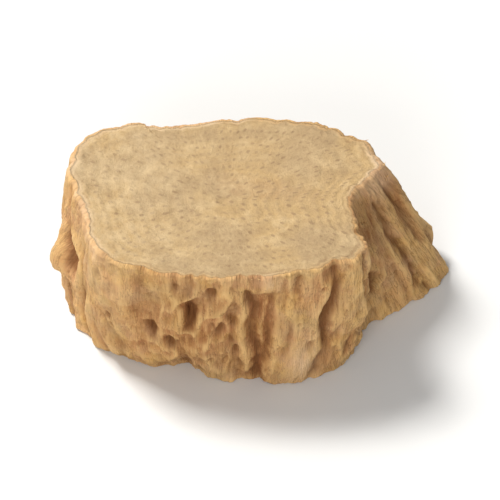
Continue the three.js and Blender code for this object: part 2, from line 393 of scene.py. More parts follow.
# Forms that are finer than the plain solid's, or that it has a little to one side of their true place:
# thin lines and holes in the bark, the sides of the middle and right furrows, the pits' width, the left
# hollow with the flanks of its stub, and the lower edge on the left of the front.
FINER_FORMS = (
    Furrow(at=4.9, lean=-0.3, sway=0.15, half=0.45, depth=0.35, low=4.0, high=12.4),
    Furrow(at=6.2, lean=0.2, sway=0.1, half=0.4, depth=-0.22, low=5.0, high=14.0),
    Furrow(at=66.4, lean=0.9, sway=0.3, half=0.6, depth=-0.7, low=-3.0, high=5.0),
    Furrow(at=65.9, lean=0.9, sway=0.3, half=0.55, depth=-0.4, low=2.0, high=13.0),
    Furrow(at=61.7, lean=0.4, sway=0.1, half=0.5, depth=0.65, low=2.6, high=12.0),
    Furrow(at=59.6, lean=-0.4, sway=0.1, half=0.5, depth=-0.55, low=2.0, high=12.4),
    Furrow(at=61.0, lean=-0.2, sway=0.1, half=0.45, depth=0.3, low=5.0, high=12.4),
    Furrow(at=62.8, lean=0.2, sway=0.06, half=0.24, depth=0.24, low=8.0, high=14.0),
    Furrow(at=63.2, lean=0.5, sway=0.1, half=0.28, depth=0.26, low=2.6, high=8.6),
    Furrow(at=51.6, lean=-0.6, sway=0.2, half=0.3, depth=0.16, low=2.0, high=10.0),
    Pit(at=65.0, height=4.1, half=0.36, tall=0.5, depth=0.45),
    Pit(at=58.9, height=4.9, half=0.35, tall=0.6, depth=0.3),
    Pit(at=58.9, height=9.3, half=0.5, tall=1.0, depth=-0.3),
    Pit(at=59.9, height=7.0, half=0.45, tall=1.8, depth=-0.3),
    Pit(at=54.8, height=11.3, half=0.4, tall=0.5, depth=0.25),
    Pit(at=57.0, height=8.6, half=0.3, tall=0.6, depth=0.25),
    Pit(at=55.6, height=8.3, half=0.9, tall=1.7, depth=0.25),
    Pit(at=54.7, height=5.3, half=0.5, tall=0.9, depth=0.35),
    Pit(at=57.6, height=10.6, half=0.5, tall=0.7, depth=0.25),
    Pit(at=57.8, height=9.2, half=0.5, tall=0.6, depth=-0.25),
    Pit(at=42.6, height=6.6, half=0.75, tall=1.1, depth=1.05),
    Pit(at=41.6, height=8.0, half=0.6, tall=0.9, depth=0.55),
    Pit(at=43.0, height=8.6, half=1.0, tall=0.6, depth=-0.5),
    Pit(at=40.8, height=8.0, half=0.6, tall=0.9, depth=-0.4),
    Pit(at=41.3, height=3.5, half=1.1, tall=1.1, depth=0.7),
    Chip(at=49.6, edge=0.0, half=3.2, tall=1.4, depth=0.7),
)

# Where the bark is swollen and so less wrinkled: the left side, and the ridge between the two main furrows.
SWOLLEN = (
    Patch(at=48.4, half=3.6, strength=0.65),
    Patch(at=63.6, half=1.4, strength=0.5),
)

# Where the bark's edges aren't torn, and where its ridges wind about among the pits.
EVEN_STUB = Patch(at=42.0, half=2.6, height=7.2, tall=3.4)
KNOTTY_FRONT = Patch(at=56.6, half=4.8, height=6.5, tall=7.5)

# Where the bark is reddish: in the right furrow, among the pits in front and in the left hollow, where
# the reddish brown is partly painted shade. The three below the list, in the middle furrow, on the right
# and on its shoulder, fade with the height as well; those on the right and on its shoulder are painted shade.
REDDISH_AND_SHADED = (
    Patch(at=66.8, half=0.8, strength=0.6),
    Patch(at=56.0, half=4.2, strength=0.9, height=6.5, tall=5.5),
    Patch(at=51.3, half=1.3, strength=0.6, height=7.6, tall=1.8),
    Patch(at=42.2, half=1.2, height=7.2, tall=1.6),
)
RUSTY_RECESS = Patch(at=61.1, half=1.2)
PAINTED_SHADE_RIGHT = Patch(at=0.0, half=3.4, strength=0.4)
PAINTED_SHADE_SHOULDER = Patch(at=4.7, half=1.2, strength=0.6)

# Painted shade that darkens the left hollow.
SHADED_LEFT_HOLLOW = Patch(at=42.3, half=0.9, strength=0.6, height=7.2, tall=1.4)

# Where the bark is pale: scraped on the knob, with a painted highlight at a ridge's foot and below the
# right shoulder's rim. The left side is so in patches, partly scraped and partly painted light, and the
# corner only at the upper cut's edge, as a painted highlight.
SCRAPED_AND_LIT = (
    Patch(at=61.6, half=0.9, strength=0.6, height=12.2, tall=1.0),
    Patch(at=64.4, half=1.1, strength=0.85, height=2.6, tall=2.2),
    Patch(at=4.8, half=1.9, strength=0.8, height=12.0, tall=1.2),
    Patch(at=1.9, half=1.6, strength=0.5, height=12.5, tall=0.6),
)
LEFT_SCRAPED_AND_LIT = Patch(at=46.2, half=3.2, strength=0.6, height=12.8, tall=4.5)
CORNER_RIM_HIGHLIGHT = Patch(at=7.0, half=2.2)


@dataclass
class RootShape:
    """The slice's form: where its bark and its two cuts run, before the fine grain is laid on."""

    height: float = 12.8
    worn_edge: float = 0.3
    face_hollow: float = 0.45
    face_fall: float = 0.09
    face_fall_x: float = 7.5
    belly: float = 0.35
    dimple_share: float = 0.4
    sway_wave: float = 1.1
    furrow_fade: float = 2.0
    smooth_share: float = 0.6
    curve_steps: int = 200
    steps: Array = field(init=False, repr=False)
    covered: Array = field(init=False, repr=False)
    girth: float = field(init=False)

    def __post_init__(self) -> None:
        """Measure the mean outline, by whose length the distance round is told."""
        self.steps = np.linspace(0.0, 1.0, self.curve_steps + 1)
        path, _ = self.outline(self.steps, 0.5)
        lengths = np.linalg.norm(np.diff(path, axis=0), axis=1)
        self.covered = np.concatenate([[0.0], np.cumsum(lengths)])
        self.girth = float(self.covered[-1])

    def outline(self, t: Array, share: Array | float) -> tuple[Array, Array]:
        """Return points and tangents of the closed outline at a share of the height.

        Between two of its points the outline is the cubic that leaves and reaches them along half the
        chord between their neighbours.

        Args:
            t: Place on the outline, from 0 to 1, in steps of one bark line.
            share: Share of the height, from 0 at the lower cut to 1 at the upper one.

        Returns:
            The points and the unit tangents, with x and y last.
        """
        count = len(BARK_LINES)
        place = np.asarray(t) * count
        first = np.floor(place).astype(int)
        w = (place - first)[..., None]
        lines = [BARK_LINES[(first + k) % count] for k in (-1, 0, 1, 2)]
        leave = (lines[2] - lines[0]) / 2
        reach = (lines[3] - lines[1]) / 2
        a = 2 * lines[1] - 2 * lines[2] + leave + reach
        b = -3 * lines[1] + 3 * lines[2] - 2 * leave - reach
        point = ((a * w + b) * w + leave) * w + lines[1]
        slope = (3 * a * w + 2 * b) * w + leave
        share = np.asarray(share)[..., None]
        slopes = (slope[..., :2], slope[..., 2:])
        unit = [part / np.linalg.norm(part, axis=-1, keepdims=True) for part in slopes]
        tangent = unit[1] + (unit[0] - unit[1]) * share
        tangent /= np.linalg.norm(tangent, axis=-1, keepdims=True)
        return point[..., 2:] + (point[..., :2] - point[..., 2:]) * share, tangent

    def along_to_t(self, along: Array) -> Array:
        """Return the place on the outline for a distance round its mean, by the lengths measured."""
        return np.interp((along / self.girth) % 1.0 * self.covered[-1], self.covered, self.steps)

    def round_to(self, along: Array, at: float | Array) -> Array:
        """Return the shortest way round from a place to each distance, with its sign."""
        apart = along - at
        return apart - self.girth * np.round(apart / self.girth)

    def relief(self, along: Array, height: Array) -> Array:
        """Return all that stands out of the side or is sunk in it: the sum of every feature's relief.

        Args:
            along: Distance round.
            height: Height up the root.

        Returns:
            Millimetres outwards.
        """
        turn = 2 * np.pi * along / self.girth
        rise = height / self.height
        relief = self.belly * np.sin(np.pi * rise)
        for wrinkles in WRINKLES:
            relief = relief + wrinkles.relief(turn, rise)
        for feature in (*FURROWS, *PITS, *STUBS, *CHIPS):
            relief += feature.relief(self, along, height)
        return relief

    def face_height(self, x: Array, share: Array) -> Array:
        """Return the height of the upper cut, where share is 1 at the rim and 0 in the middle."""
        fall = self.face_fall * np.maximum(0.0, x - self.face_fall_x)
        return self.height - self.face_hollow * (1 - share**2) - fall


@dataclass
class BarkGrain:
    """The bark's fine relief: wrinkled cork, its flakes, crosswise marks and rootlet scars."""

    shape: RootShape
    marks: int = 84
    marks_seed: int = 21
    marks_margin: float = 0.6
    scars: int = 16
    scars_seed: int = 34
    scars_margin: float = 1.2
    broad_height: float = 0.2
    wide_height: float = 0.34
    narrow_height: float = 0.3
    fine_height: float = 0.16
    wrinkle_mean: float = 0.22
    grit_height: float = 0.022
    crack_depth: float = 0.1
    flake_thickness: float = 0.07
    knot_height: float = 0.36
    rim_height: float = 0.12
    rim_place: float = 1.35
    rim_half: float = 0.5
    core_share: float = 0.2
    core_half: float = 0.5

    def straight(self, along: Array, height: Array) -> Array:
        """Return points on the straight round column that the bark would make, rolled up evenly.

        Args:
            along: Distance round.
            height: Height up the root.

        Returns:
            The points, with x, y and z last.
        """
        turn = 2 * np.pi * along / self.shape.girth
        radius = self.shape.girth / (2 * np.pi)
        return np.stack([radius * np.cos(turn), radius * np.sin(turn), height], axis=-1)

    def warped(self, along: Array, height: Array) -> tuple[Array, Array]:
        """Return places shifted a little by noise, so that furrows and pits have torn, uneven edges.

        Round the rootlet's stub on the left, the bark is even, and nothing is shifted.

        Args:
            along: Distance round.
            height: Height up the root.

        Returns:
            The shifted distances round and heights.
        """
        points = self.straight(along, height) * (0.8, 0.8, 0.5)
        uneven = 1 - EVEN_STUB.value(self.shape, along, height)
        round_shift = 0.26 * gradient_noise(points, 91) + 0.13 * gradient_noise(points * 2.7, 92)
        up_shift = 0.45 * gradient_noise(points, 93) + 0.2 * gradient_noise(points * 2.7, 94)
        return along + uneven * round_shift, height + uneven * up_shift

    def flakes(self, points: Array) -> Array:
        """Return 1 where the outer cork is still on and 0 where it has flaked off, from layered noise."""
        noise = layered_noise(points * (0.42, 0.42, 0.24), 11, 4)
        return step(noise, -0.16, -0.10)

    def roughness(self, along: Array, height: Array) -> Array:
        """Return how strongly the cork has wrinkled: least on the left, on a swollen ridge and behind.

        Args:
            along: Distance round.
            height: Height up the root.

        Returns:
            Strengths from 0 to 1.1.
        """
        patchy = 0.8 + 0.75 * gradient_noise(self.straight(along, height) * (0.3, 0.3, 0.1), 19)
        swollen = sum(patch.value(self.shape, along, height) for patch in SWOLLEN)
        behind = step(along, 8.0, 13.0) * (1 - step(along, 38.0, 46.0))
        rim = 0.55 * behind * step(height, 8.0, self.shape.height)
        return np.clip(patchy, 0.35, 1.1) * (1 - swollen) * (1 - rim)

    def knots(self, along: Array, height: Array) -> Array:
        """Return the relief of winding ridges, on the lines where a noise is nought.

        They lie in front and in a few patches.

        Args:
            along: Distance round.
            height: Height up the root.

        Returns:
            Millimetres outwards.
        """
        points = self.straight(along, height)
        noise = layered_noise(points * (0.42, 0.42, 0.27), 27, 2)
        ridges = hump(noise, 0.13) - 0.4
        patches = step(gradient_noise(points * (0.13, 0.13, 0.1), 29), 0.05, 0.4)
        front = KNOTTY_FRONT.value(self.shape, along, height)
        return self.knot_height * ridges * np.clip(1.4 * front + 0.6 * patches, 0, 1)

    def details(self, along: Array, height: Array) -> Array:
        """Return the relief of the finer forms, and of each pit's raised rim and the narrow hole in it.

        Args:
            along: Distance round.
            height: Height up the root.

        Returns:
            Millimetres outwards.
        """
        relief = np.zeros_like(along)
        broken = 0.6 + gradient_noise(self.straight(along, height) * 0.8, 31)
        for feature in FINER_FORMS:
            relief += feature.relief(self.shape, along, height)
        for pit in (pit for pit in PITS if pit.depth > 0):
            away = np.hypot(self.shape.round_to(along, pit.at) / pit.half, (height - pit.height) / pit.tall)
            relief += self.rim_height * hump(away - self.rim_place, self.rim_half) * broken
            relief -= self.core_share * pit.depth * hump(away, self.core_half)
        return relief

    def rust_and_shade(self, along: Array, height: Array) -> Array:
        """Return how reddish the bark is.

        It is so in the front's recesses and pits, in the left hollow, on the right and its shoulder, and in
        patches of layered noise all round. In the left hollow it is partly painted shade, and on the right
        and its shoulder wholly painted shade.

        Args:
            along: Distance round.
            height: Height up the root.

        Returns:
            Values from 0 to 1.
        """
        points = self.straight(along, height)
        listed_reddish_and_shaded = sum(patch.value(self.shape, along, height) for patch in REDDISH_AND_SHADED)
        recess = RUSTY_RECESS.value(self.shape, along, height) * (1 - 0.5 * step(height, 9.0, 12.0))
        # Painted shade on the right and on its shoulder, in the reddish brown.
        right = PAINTED_SHADE_RIGHT.value(self.shape, along, height) * step(height, 2.0, 6.0)
        shoulder = PAINTED_SHADE_SHOULDER.value(self.shape, along, height) * step(height, 5.0, 8.5)
        patches = step(layered_noise(points * (0.3, 0.3, 0.16), 17, 3), 0.05, 0.5)
        return np.clip(listed_reddish_and_shaded + recess + right + shoulder + 0.7 * patches, 0, 1)

    def painted_hollow_shade(self, along: Array, height: Array) -> Array:
        """Return where painted shade darkens the left hollow."""
        return SHADED_LEFT_HOLLOW.value(self.shape, along, height)

    def scraped_and_lit(self, along: Array, height: Array) -> Array:
        """Return where the bark is rubbed or scraped pale.

        It is so along the upper cut's edge behind and at the right corner, down the left side, on the
        knob and a ridge's foot in front, and below the right shoulder's rim. Along the upper cut's edge,
        below the right shoulder's rim and at the ridge's foot the paleness is painted highlight, and down
        the left side it is partly painted light.

        Args:
            along: Distance round.
            height: Height up the root.

        Returns:
            Values from 0 to 1.
        """
        below = self.shape.height - height
        behind = step(along, 18.0, 23.0) * (1 - step(along, 40.0, 46.0))
        corner = CORNER_RIM_HIGHLIGHT.value(self.shape, along, height)
        patchy = 0.8 + 0.9 * gradient_noise(self.straight(along, height) * 0.6, 37)
        # Painted highlight along the upper cut's rim, behind and at the right corner.
        edge = 0.8 * (behind + corner) * hump(below, 0.4)
        left = LEFT_SCRAPED_AND_LIT.value(self.shape, along, height)
        rubbed = sum(patch.value(self.shape, along, height) for patch in SCRAPED_AND_LIT)
        return np.clip((edge + left) * patchy + rubbed, 0, 1)

    def crossmarks(self, along: Array, height: Array) -> Array:
        """Return the relief of the short raised crosswise marks, each split along its middle.

        A mark is a hump up the bark less a narrower one, times a hump round it.

        Args:
            along: Distance round.
            height: Height up the root.

        Returns:
            Millimetres outwards.
        """
        rng = np.random.default_rng(self.marks_seed)
        margin = self.marks_margin
        relief = np.zeros_like(along)
        for _ in range(self.marks):
            across = self.shape.round_to(along, rng.uniform(0, self.shape.girth))
            up = height - rng.uniform(margin, self.shape.height - margin) - 0.12 * np.sin(2.2 * across)
            half, tall, rise = rng.uniform(0.3, 0.9), rng.uniform(0.12, 0.2), rng.uniform(0.09, 0.2)
            relief += rise * hump(across, half) * (hump(up, tall) - 0.9 * hump(up, 0.35 * tall))
        return relief

    def rootlet_scars(self, along: Array, height: Array) -> Array:
        """Return the relief of small round scars: a low ring round a pit, both humps of the distance.

        Args:
            along: Distance round.
            height: Height up the root.

        Returns:
            Millimetres outwards.
        """
        rng = np.random.default_rng(self.scars_seed)
        margin = self.scars_margin
        relief = np.zeros_like(along)
        for _ in range(self.scars):
            across = self.shape.round_to(along, rng.uniform(0, self.shape.girth))
            away = np.hypot(across, height - rng.uniform(margin, self.shape.height - margin))
            radius = rng.uniform(0.28, 0.45)
            relief += 0.12 * hump(away - radius, 0.4 * radius) - 0.2 * hump(away, 0.6 * radius)
        return relief

    def relief(self, along: Array, height: Array) -> Array:
        """Return the whole of the fine relief in millimetres outwards.

        Wrinkles are the size of a noise stretched along the root, so they are rounded above and sharp
        between, as shrunken cork is.

        Args:
            along: Distance round.
            height: Height up the root.

        Returns:
            Millimetres outwards.
        """
        points = self.straight(along, height)
        broad = layered_noise(points * (0.34, 0.34, 0.2), 3, 2)
        wide = np.abs(layered_noise(points * (0.62, 0.62, 0.1), 5, 2))
        narrow = np.abs(layered_noise(points * (1.35, 1.35, 0.2), 6, 2))
        fine = np.abs(layered_noise(points * (3.0, 3.0, 0.5), 7, 2))
        cracks = hump(gradient_noise(points * (0.55, 0.55, 1.7), 9), 0.045)
        where = step(gradient_noise(points * 0.5, 10), 0.0, 0.3)
        grit = gradient_noise(points * (4.6, 4.6, 3.0), 8)
        wrinkled = self.wide_height * wide + self.narrow_height * narrow + self.fine_height * fine
        wrinkled = wrinkled - self.wrinkle_mean
        relief = self.broad_height * broad + wrinkled * self.roughness(along, height)
        relief = relief + self.knots(along, height)
        relief += self.grit_height * grit - self.crack_depth * cracks * where
        relief += self.flake_thickness * (self.flakes(points) - 1.0)
        return relief + self.crossmarks(along, height) + self.rootlet_scars(along, height)


@dataclass
class CutGrain:
    """The fine relief of a cut: rings of vascular dots, knife marks, the pith and a groove in the rim."""

    shape: RootShape
    seed: int
    rings: int = 11
    reach: float = 10.4
    band_half: float = 0.28
    band_height: float = 0.05
    powder_height: float = 0.014
    grain_height: float = 0.05
    knife_turn: float = 0.3
    line_depth: float = 0.022
    wave_depth: float = 0.06
    pith_half: float = 0.42
    pith_depth: float = 0.16
    groove_share: float = 0.962
    groove_half: float = 0.13
    groove_depth: float = 0.09

    def level(self, share: Array, points: Array) -> Array:
        """Return the ring level, which grows by 1 from ring to ring: the share times the rings, and noise.

        Args:
            share: Share of the way out from the middle.
            points: Points on the cut.

        Returns:
            The levels, which are whole numbers half-way between two rings.
        """
        shift = 0.26 * gradient_noise(points * 0.5, self.seed)
        shift = shift + 0.1 * gradient_noise(points * 1.6, self.seed + 1)
        return share * self.rings + shift

    def bands(self, level: Array) -> Array:
        """Return the ridges, from 0 to 1, that stand half-way between two whole levels."""
        across = (level - np.floor(level) - 0.5) * self.reach / self.rings
        return hump(across, self.band_half)

    def knife(self, points: Array) -> Array:
        """Return the knife's marks: noise that changes quickly across the stroke and slowly along it.

        Args:
            points: Points on the cut.

        Returns:
            Millimetres outwards.
        """
        c, s = math.cos(self.knife_turn), math.sin(self.knife_turn)
        stroke = points[..., 0] * c + points[..., 1] * s
        beside = points[..., 1] * c - points[..., 0] * s
        lines = np.stack([stroke * 0.05, beside * 2.4, np.full_like(stroke, 0.5)], axis=-1)
        waves = np.stack([stroke * 0.03, beside * 0.42, np.full_like(stroke, 3.5)], axis=-1)
        fine = self.line_depth * gradient_noise(lines, self.seed + 4)
        return fine + self.wave_depth * gradient_noise(waves, self.seed + 5)

    def relief(self, share: Array, points: Array) -> tuple[Array, Array]:
        """Return the whole of the cut's fine relief.

        It is the sum of the ridges, powder, grain and knife marks, which fade at the rim, less the pith
        and a broken groove just inside the rim.

        Args:
            share: Share of the way out from the middle.
            points: Points on the cut.

        Returns:
            Millimetres outwards, and the ring levels.
        """
        level = self.level(share, points)
        powder = gradient_noise(points * 3.4, self.seed + 6)
        grain = layered_noise(points * 0.9, self.seed + 7, 3)
        pith = hump(share * self.reach, self.pith_half)
        inner = 1 - step(share, 0.95, 1.0)
        gap = 0.4 + gradient_noise(points * 0.5, self.seed + 8)
        from_groove = (share - self.groove_share) * self.reach + 0.1 * powder
        groove = hump(from_groove, self.groove_half) * np.clip(gap, 0, 1)
        relief = self.band_height * self.bands(level) + self.powder_height * powder
        relief = relief + self.grain_height * grain + self.knife(points)
        return relief * inner - self.pith_depth * pith - self.groove_depth * groove, level


@dataclass(frozen=True)
class RingBand:
    """A band of a cut's rings, and the strides at which the rings of the two cuts keep their columns."""

    outer: float
    inner: float
    rings: int
    upper_stride: int
    lower_stride: int

    def shares(self) -> Array:
        """Return the rings' shares of the way out, evenly spaced from the outside in."""
        return np.linspace(self.outer, self.inner, self.rings + 1)[1:]


RING_BANDS = (
    RingBand(outer=1.0, inner=0.86, rings=12, upper_stride=1, lower_stride=2),
    RingBand(outer=0.86, inner=0.42, rings=31, upper_stride=2, lower_stride=4),
    RingBand(outer=0.42, inner=0.14, rings=21, upper_stride=4, lower_stride=8),
    RingBand(outer=0.14, inner=0.02, rings=9, upper_stride=16, lower_stride=16),
)


@dataclass
class Surface:
    """Rows of points from the middle of the lower cut, up the bark, to the middle of the upper cut."""

    points: list[Array] = field(default_factory=list)
    marks: dict[str, list[Array]] = field(default_factory=dict)
    strides: list[int] = field(default_factory=list)
    places: list[Place] = field(default_factory=list)

    def add(self, points: Array, strides: Sequence[int], place: Place, marks: dict[str, Array]) -> None:
        """Add rows of points.

        Args:
            points: The points, row by row.
            strides: Each row's stride, at which its columns are kept.
            place: The stretch of the surface that the rows belong to.
            marks: Each mark's values, row by row.
        """
        self.points.extend(points)
        self.strides.extend(strides)
        self.places.extend([place] * len(points))
        for name, values in marks.items():
            self.marks.setdefault(name, []).extend(values)


@dataclass
class RootSliceSkin:
    """The whole outside of the slice, as one closed mesh with the marks that its materials read."""

    shape: RootShape
    columns: int = 576
    side_rows: int = 100
    edge_rows: int = 5
    lower_every: int = 3
    near_blur: tuple[int, int] = (9, 10)
    wide_blur: tuple[int, int] = (26, 24)
    near_relief: float = 0.24
    wide_relief: float = 0.5
    crest_relief: float = 0.2
    lower_lift: float = 0.12
    upper_seed: int = 51
    lower_seed: int = 71
    ray_length: float = 4.0

    def side(self) -> tuple[Array, dict[str, Array]]:
        """Return the bark's points, row by row from the lower edge to the upper one, and its marks.

        A point is the outline's point at that height, moved outwards by the relief and the grain. In the
        last stretch to each cut it steps in along a quarter circle, which is the worn edge.

        Returns:
            The points and the marks, row by row.
        """
        shape, grain = self.shape, BarkGrain(self.shape)
        rim_band = shape.worn_edge / shape.height
        bend = np.linspace(0, np.pi / 2, self.edge_rows + 1)[1:]
        middle = np.linspace(rim_band, 1 - rim_band, self.side_rows)
        low = rim_band * (1 - np.sin(bend[::-1]))
        shares = np.concatenate([low, middle, 1 - low[::-1]])
        along, share = np.meshgrid(np.arange(self.columns) / self.columns * shape.girth, shares)
        level = share * shape.height
        point, tangent = shape.outline(shape.along_to_t(along), share)
        rim = shape.face_height(point[..., 0], np.ones_like(share))
        straight = grain.straight(along, level)
        fine = grain.relief(along, level)
        warped = grain.warped(along, level)
        coarse = shape.relief(*warped) + grain.details(*warped)
        near = np.minimum(share, 1 - share) * shape.height
        into_edge = np.maximum(0, shape.worn_edge - near)
        inset = shape.worn_edge - np.sqrt(np.maximum(0, shape.worn_edge**2 - into_edge**2))
        ragged = 1 + 0.55 * gradient_noise(straight * (0.9, 0.9, 0.05), 15)
        out = coarse + fine - inset * ragged
        outward = np.stack([tangent[..., 1], -tangent[..., 0]], axis=-1)
        flat = point + outward * out[..., None]
        points = np.concatenate([flat, (share * rim)[..., None]], axis=-1)
        whole = coarse + fine
        away = whole - spread(whole, *self.near_blur)
        wide = whole - spread(whole, *self.wide_blur)
        sunken = 0.7 * away / self.near_relief + 0.35 * wide / self.wide_relief
        rust_and_shade = grain.rust_and_shade(along, level)
        nothing = np.zeros_like(share)
        marks = {
            # Painted shade: darker where the relief sinks below the relief around it, and in the left hollow.
            "hollow": np.clip(grain.painted_hollow_shade(along, level) - sunken, 0, 1),
            "crest": np.clip(0.9 * away / self.crest_relief + wide * (1 - rust_and_shade), 0, 1),
            "flake": grain.flakes(straight),
            "rust_and_shade": rust_and_shade,
            "rough": grain.roughness(along, level),
            "edge": np.where(share < 0.5, hump(near, 0.7), 0.8 * hump(near, 0.45)),
            "scraped_and_lit": grain.scraped_and_lit(along, level),
            "share": nothing + 1,
            "level": nothing,
            "place": straight,
            "ray": straight,
        }
        return points, marks

    def face(self, rim: Array, place: Place, shares: Array) -> tuple[Array, dict[str, Array]]:
        """Return the points of a cut, ring by ring, and its marks.

        A ring is the outline drawn in towards the middle. It keeps the bark's relief near the rim and is
        smoother the further in it lies.

        Args:
            rim: The bark's last row on this side.
            place: Which cut.
            shares: The rings' shares of the way out from the middle.

        Returns:
            The points and the marks.
        """
        shape = self.shape
        upper = place is Place.UPPER_CUT
        along, share = np.meshgrid(np.arange(self.columns) / self.columns * shape.girth, shares)
        smooth, _ = shape.outline(shape.along_to_t(along), 1.0 if upper else 0.0)
        rough = step(share, shape.smooth_share, 1.0)[..., None]
        flat = share[..., None] * (smooth + (rim[:, :2] - smooth) * rough)
        level = shape.face_height(flat[..., 0], share) if upper else np.zeros_like(share)
        points = np.concatenate([flat, level[..., None]], axis=-1)
        bark, grain = BarkGrain(shape), CutGrain(shape, seed=self.upper_seed if upper else self.lower_seed)
        relief, rings = grain.relief(share, points)
        edge = step(share, 0.93, 1.0)
        points[..., 2] = level + relief if upper else np.maximum(0.0, self.lower_lift - relief) * (1 - edge)
        nothing = np.zeros_like(share)
        at_rim = step(share, 0.955, 0.985) if upper else nothing
        marks = {
            "hollow": nothing,
            "crest": nothing,
            "flake": nothing,
            "rust_and_shade": nothing,
            "rough": nothing,
            "edge": nothing + 1,
            "scraped_and_lit": bark.scraped_and_lit(along, nothing + shape.height) * at_rim,
            "share": share,
            "level": rings,
            "place": points.copy(),
            "ray": bark.straight(along, self.ray_length * share),
        }
        return points, marks

    def surface(self) -> Surface:
        """Return all the rows of the closed surface.

        The lower cut lies hidden, so it has only some of the upper one's rings, with fewer points each.

        Returns:
            The rows, from the middle of the lower cut to that of the upper one.
        """
        side, side_marks = self.side()
        upper = [(share, band.upper_stride) for band in RING_BANDS for share in band.shares()]
        lower = [
            (share, band.lower_stride) for band in RING_BANDS for share in band.shares()[:: self.lower_every]
        ]
        upper_shares, upper_strides = zip(*upper)
        lower_shares, lower_strides = zip(*reversed(lower))
        lower_points, lower_marks = self.face(side[0], Place.LOWER_CUT, np.array(lower_shares))
        upper_points, upper_marks = self.face(side[-1], Place.UPPER_CUT, np.array(upper_shares))
        surface = Surface()
        surface.add(lower_points, lower_strides, Place.LOWER_CUT, lower_marks)
        surface.add(side, [1] * len(side), Place.BARK, side_marks)
        surface.add(upper_points, upper_strides, Place.UPPER_CUT, upper_marks)
        return surface

    def build(self) -> bpy.types.Object:
        """Build the mesh, with its marks as point attributes.

        Each row is joined to the next, and each end closed by a fan of triangles to its middle point.

        Returns:
            The skin, whose first material is for the bark and whose second is for the cuts.
        """
        surface = self.surface()
        rows = [np.arange(0, self.columns, stride) for stride in surface.strides]
        kept = [points[row] for points, row in zip(surface.points, rows)]
        starts = np.cumsum([0] + [len(row) for row in rows])
        rings = [np.arange(len(row)) + start for row, start in zip(rows, starts)]
        bottom, top = starts[-1], starts[-1] + 1
        points = np.concatenate(kept + [kept[0].mean(axis=0)[None], kept[-1].mean(axis=0)[None]])
        quads, triangles, quad_places, triangle_places = [], [], [], []
        for number, (ring, after) in enumerate(zip(rings, rings[1:])):
            four, three = join_rings(ring, after)
            bark = surface.places[number] is Place.BARK and surface.places[number + 1] is Place.BARK
            quads.append(four)
            triangles.append(three)
            quad_places.append(np.full(len(four), 0 if bark else 1))
            triangle_places.append(np.full(len(three), 0 if bark else 1))
        first, last = rings[0], rings[-1]
        triangles.append(np.stack([np.roll(first, -1), first, np.full_like(first, bottom)], axis=1))
        triangles.append(np.stack([last, np.roll(last, -1), np.full_like(last, top)], axis=1))
        triangle_places.append(np.ones(len(first) + len(last), dtype=int))
        middle = (points.min(axis=0) + points.max(axis=0)) / 2
        points[:, :2] -= middle[:2]
        faces = np.concatenate(quads), np.concatenate(triangles)
        mesh = mesh_from_faces("root_slice_skin", points * MM, *faces)
        places = np.concatenate(quad_places + triangle_places)
        mesh.polygons.foreach_set("material_index", places.astype(np.int32))
        for name, values in surface.marks.items():
            picked = np.concatenate([row_values[row] for row_values, row in zip(values, rows)])
            ends = np.stack([values[0].mean(axis=0), values[-1].mean(axis=0)])
            put_attribute(mesh, name, np.concatenate([picked, ends]))
        return new_object("root_slice_skin", mesh)

    def dress(self, skin: bpy.types.Object, grain: Tree, dust: Tree) -> None:
        """Give the skin its two finishes, hide the CAD part that it stands in for, and tell which body it
        belongs to.

        Args:
            skin: The skin.
            grain: The group of the dry fibre grain.
            dust: The group of the starch dust.
        """
        skin.data.materials.append(BarkFinish().material(grain, dust))
        skin.data.materials.append(CutFinish().material(grain, dust))
        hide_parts("root_slice")
        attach(skin, "root")


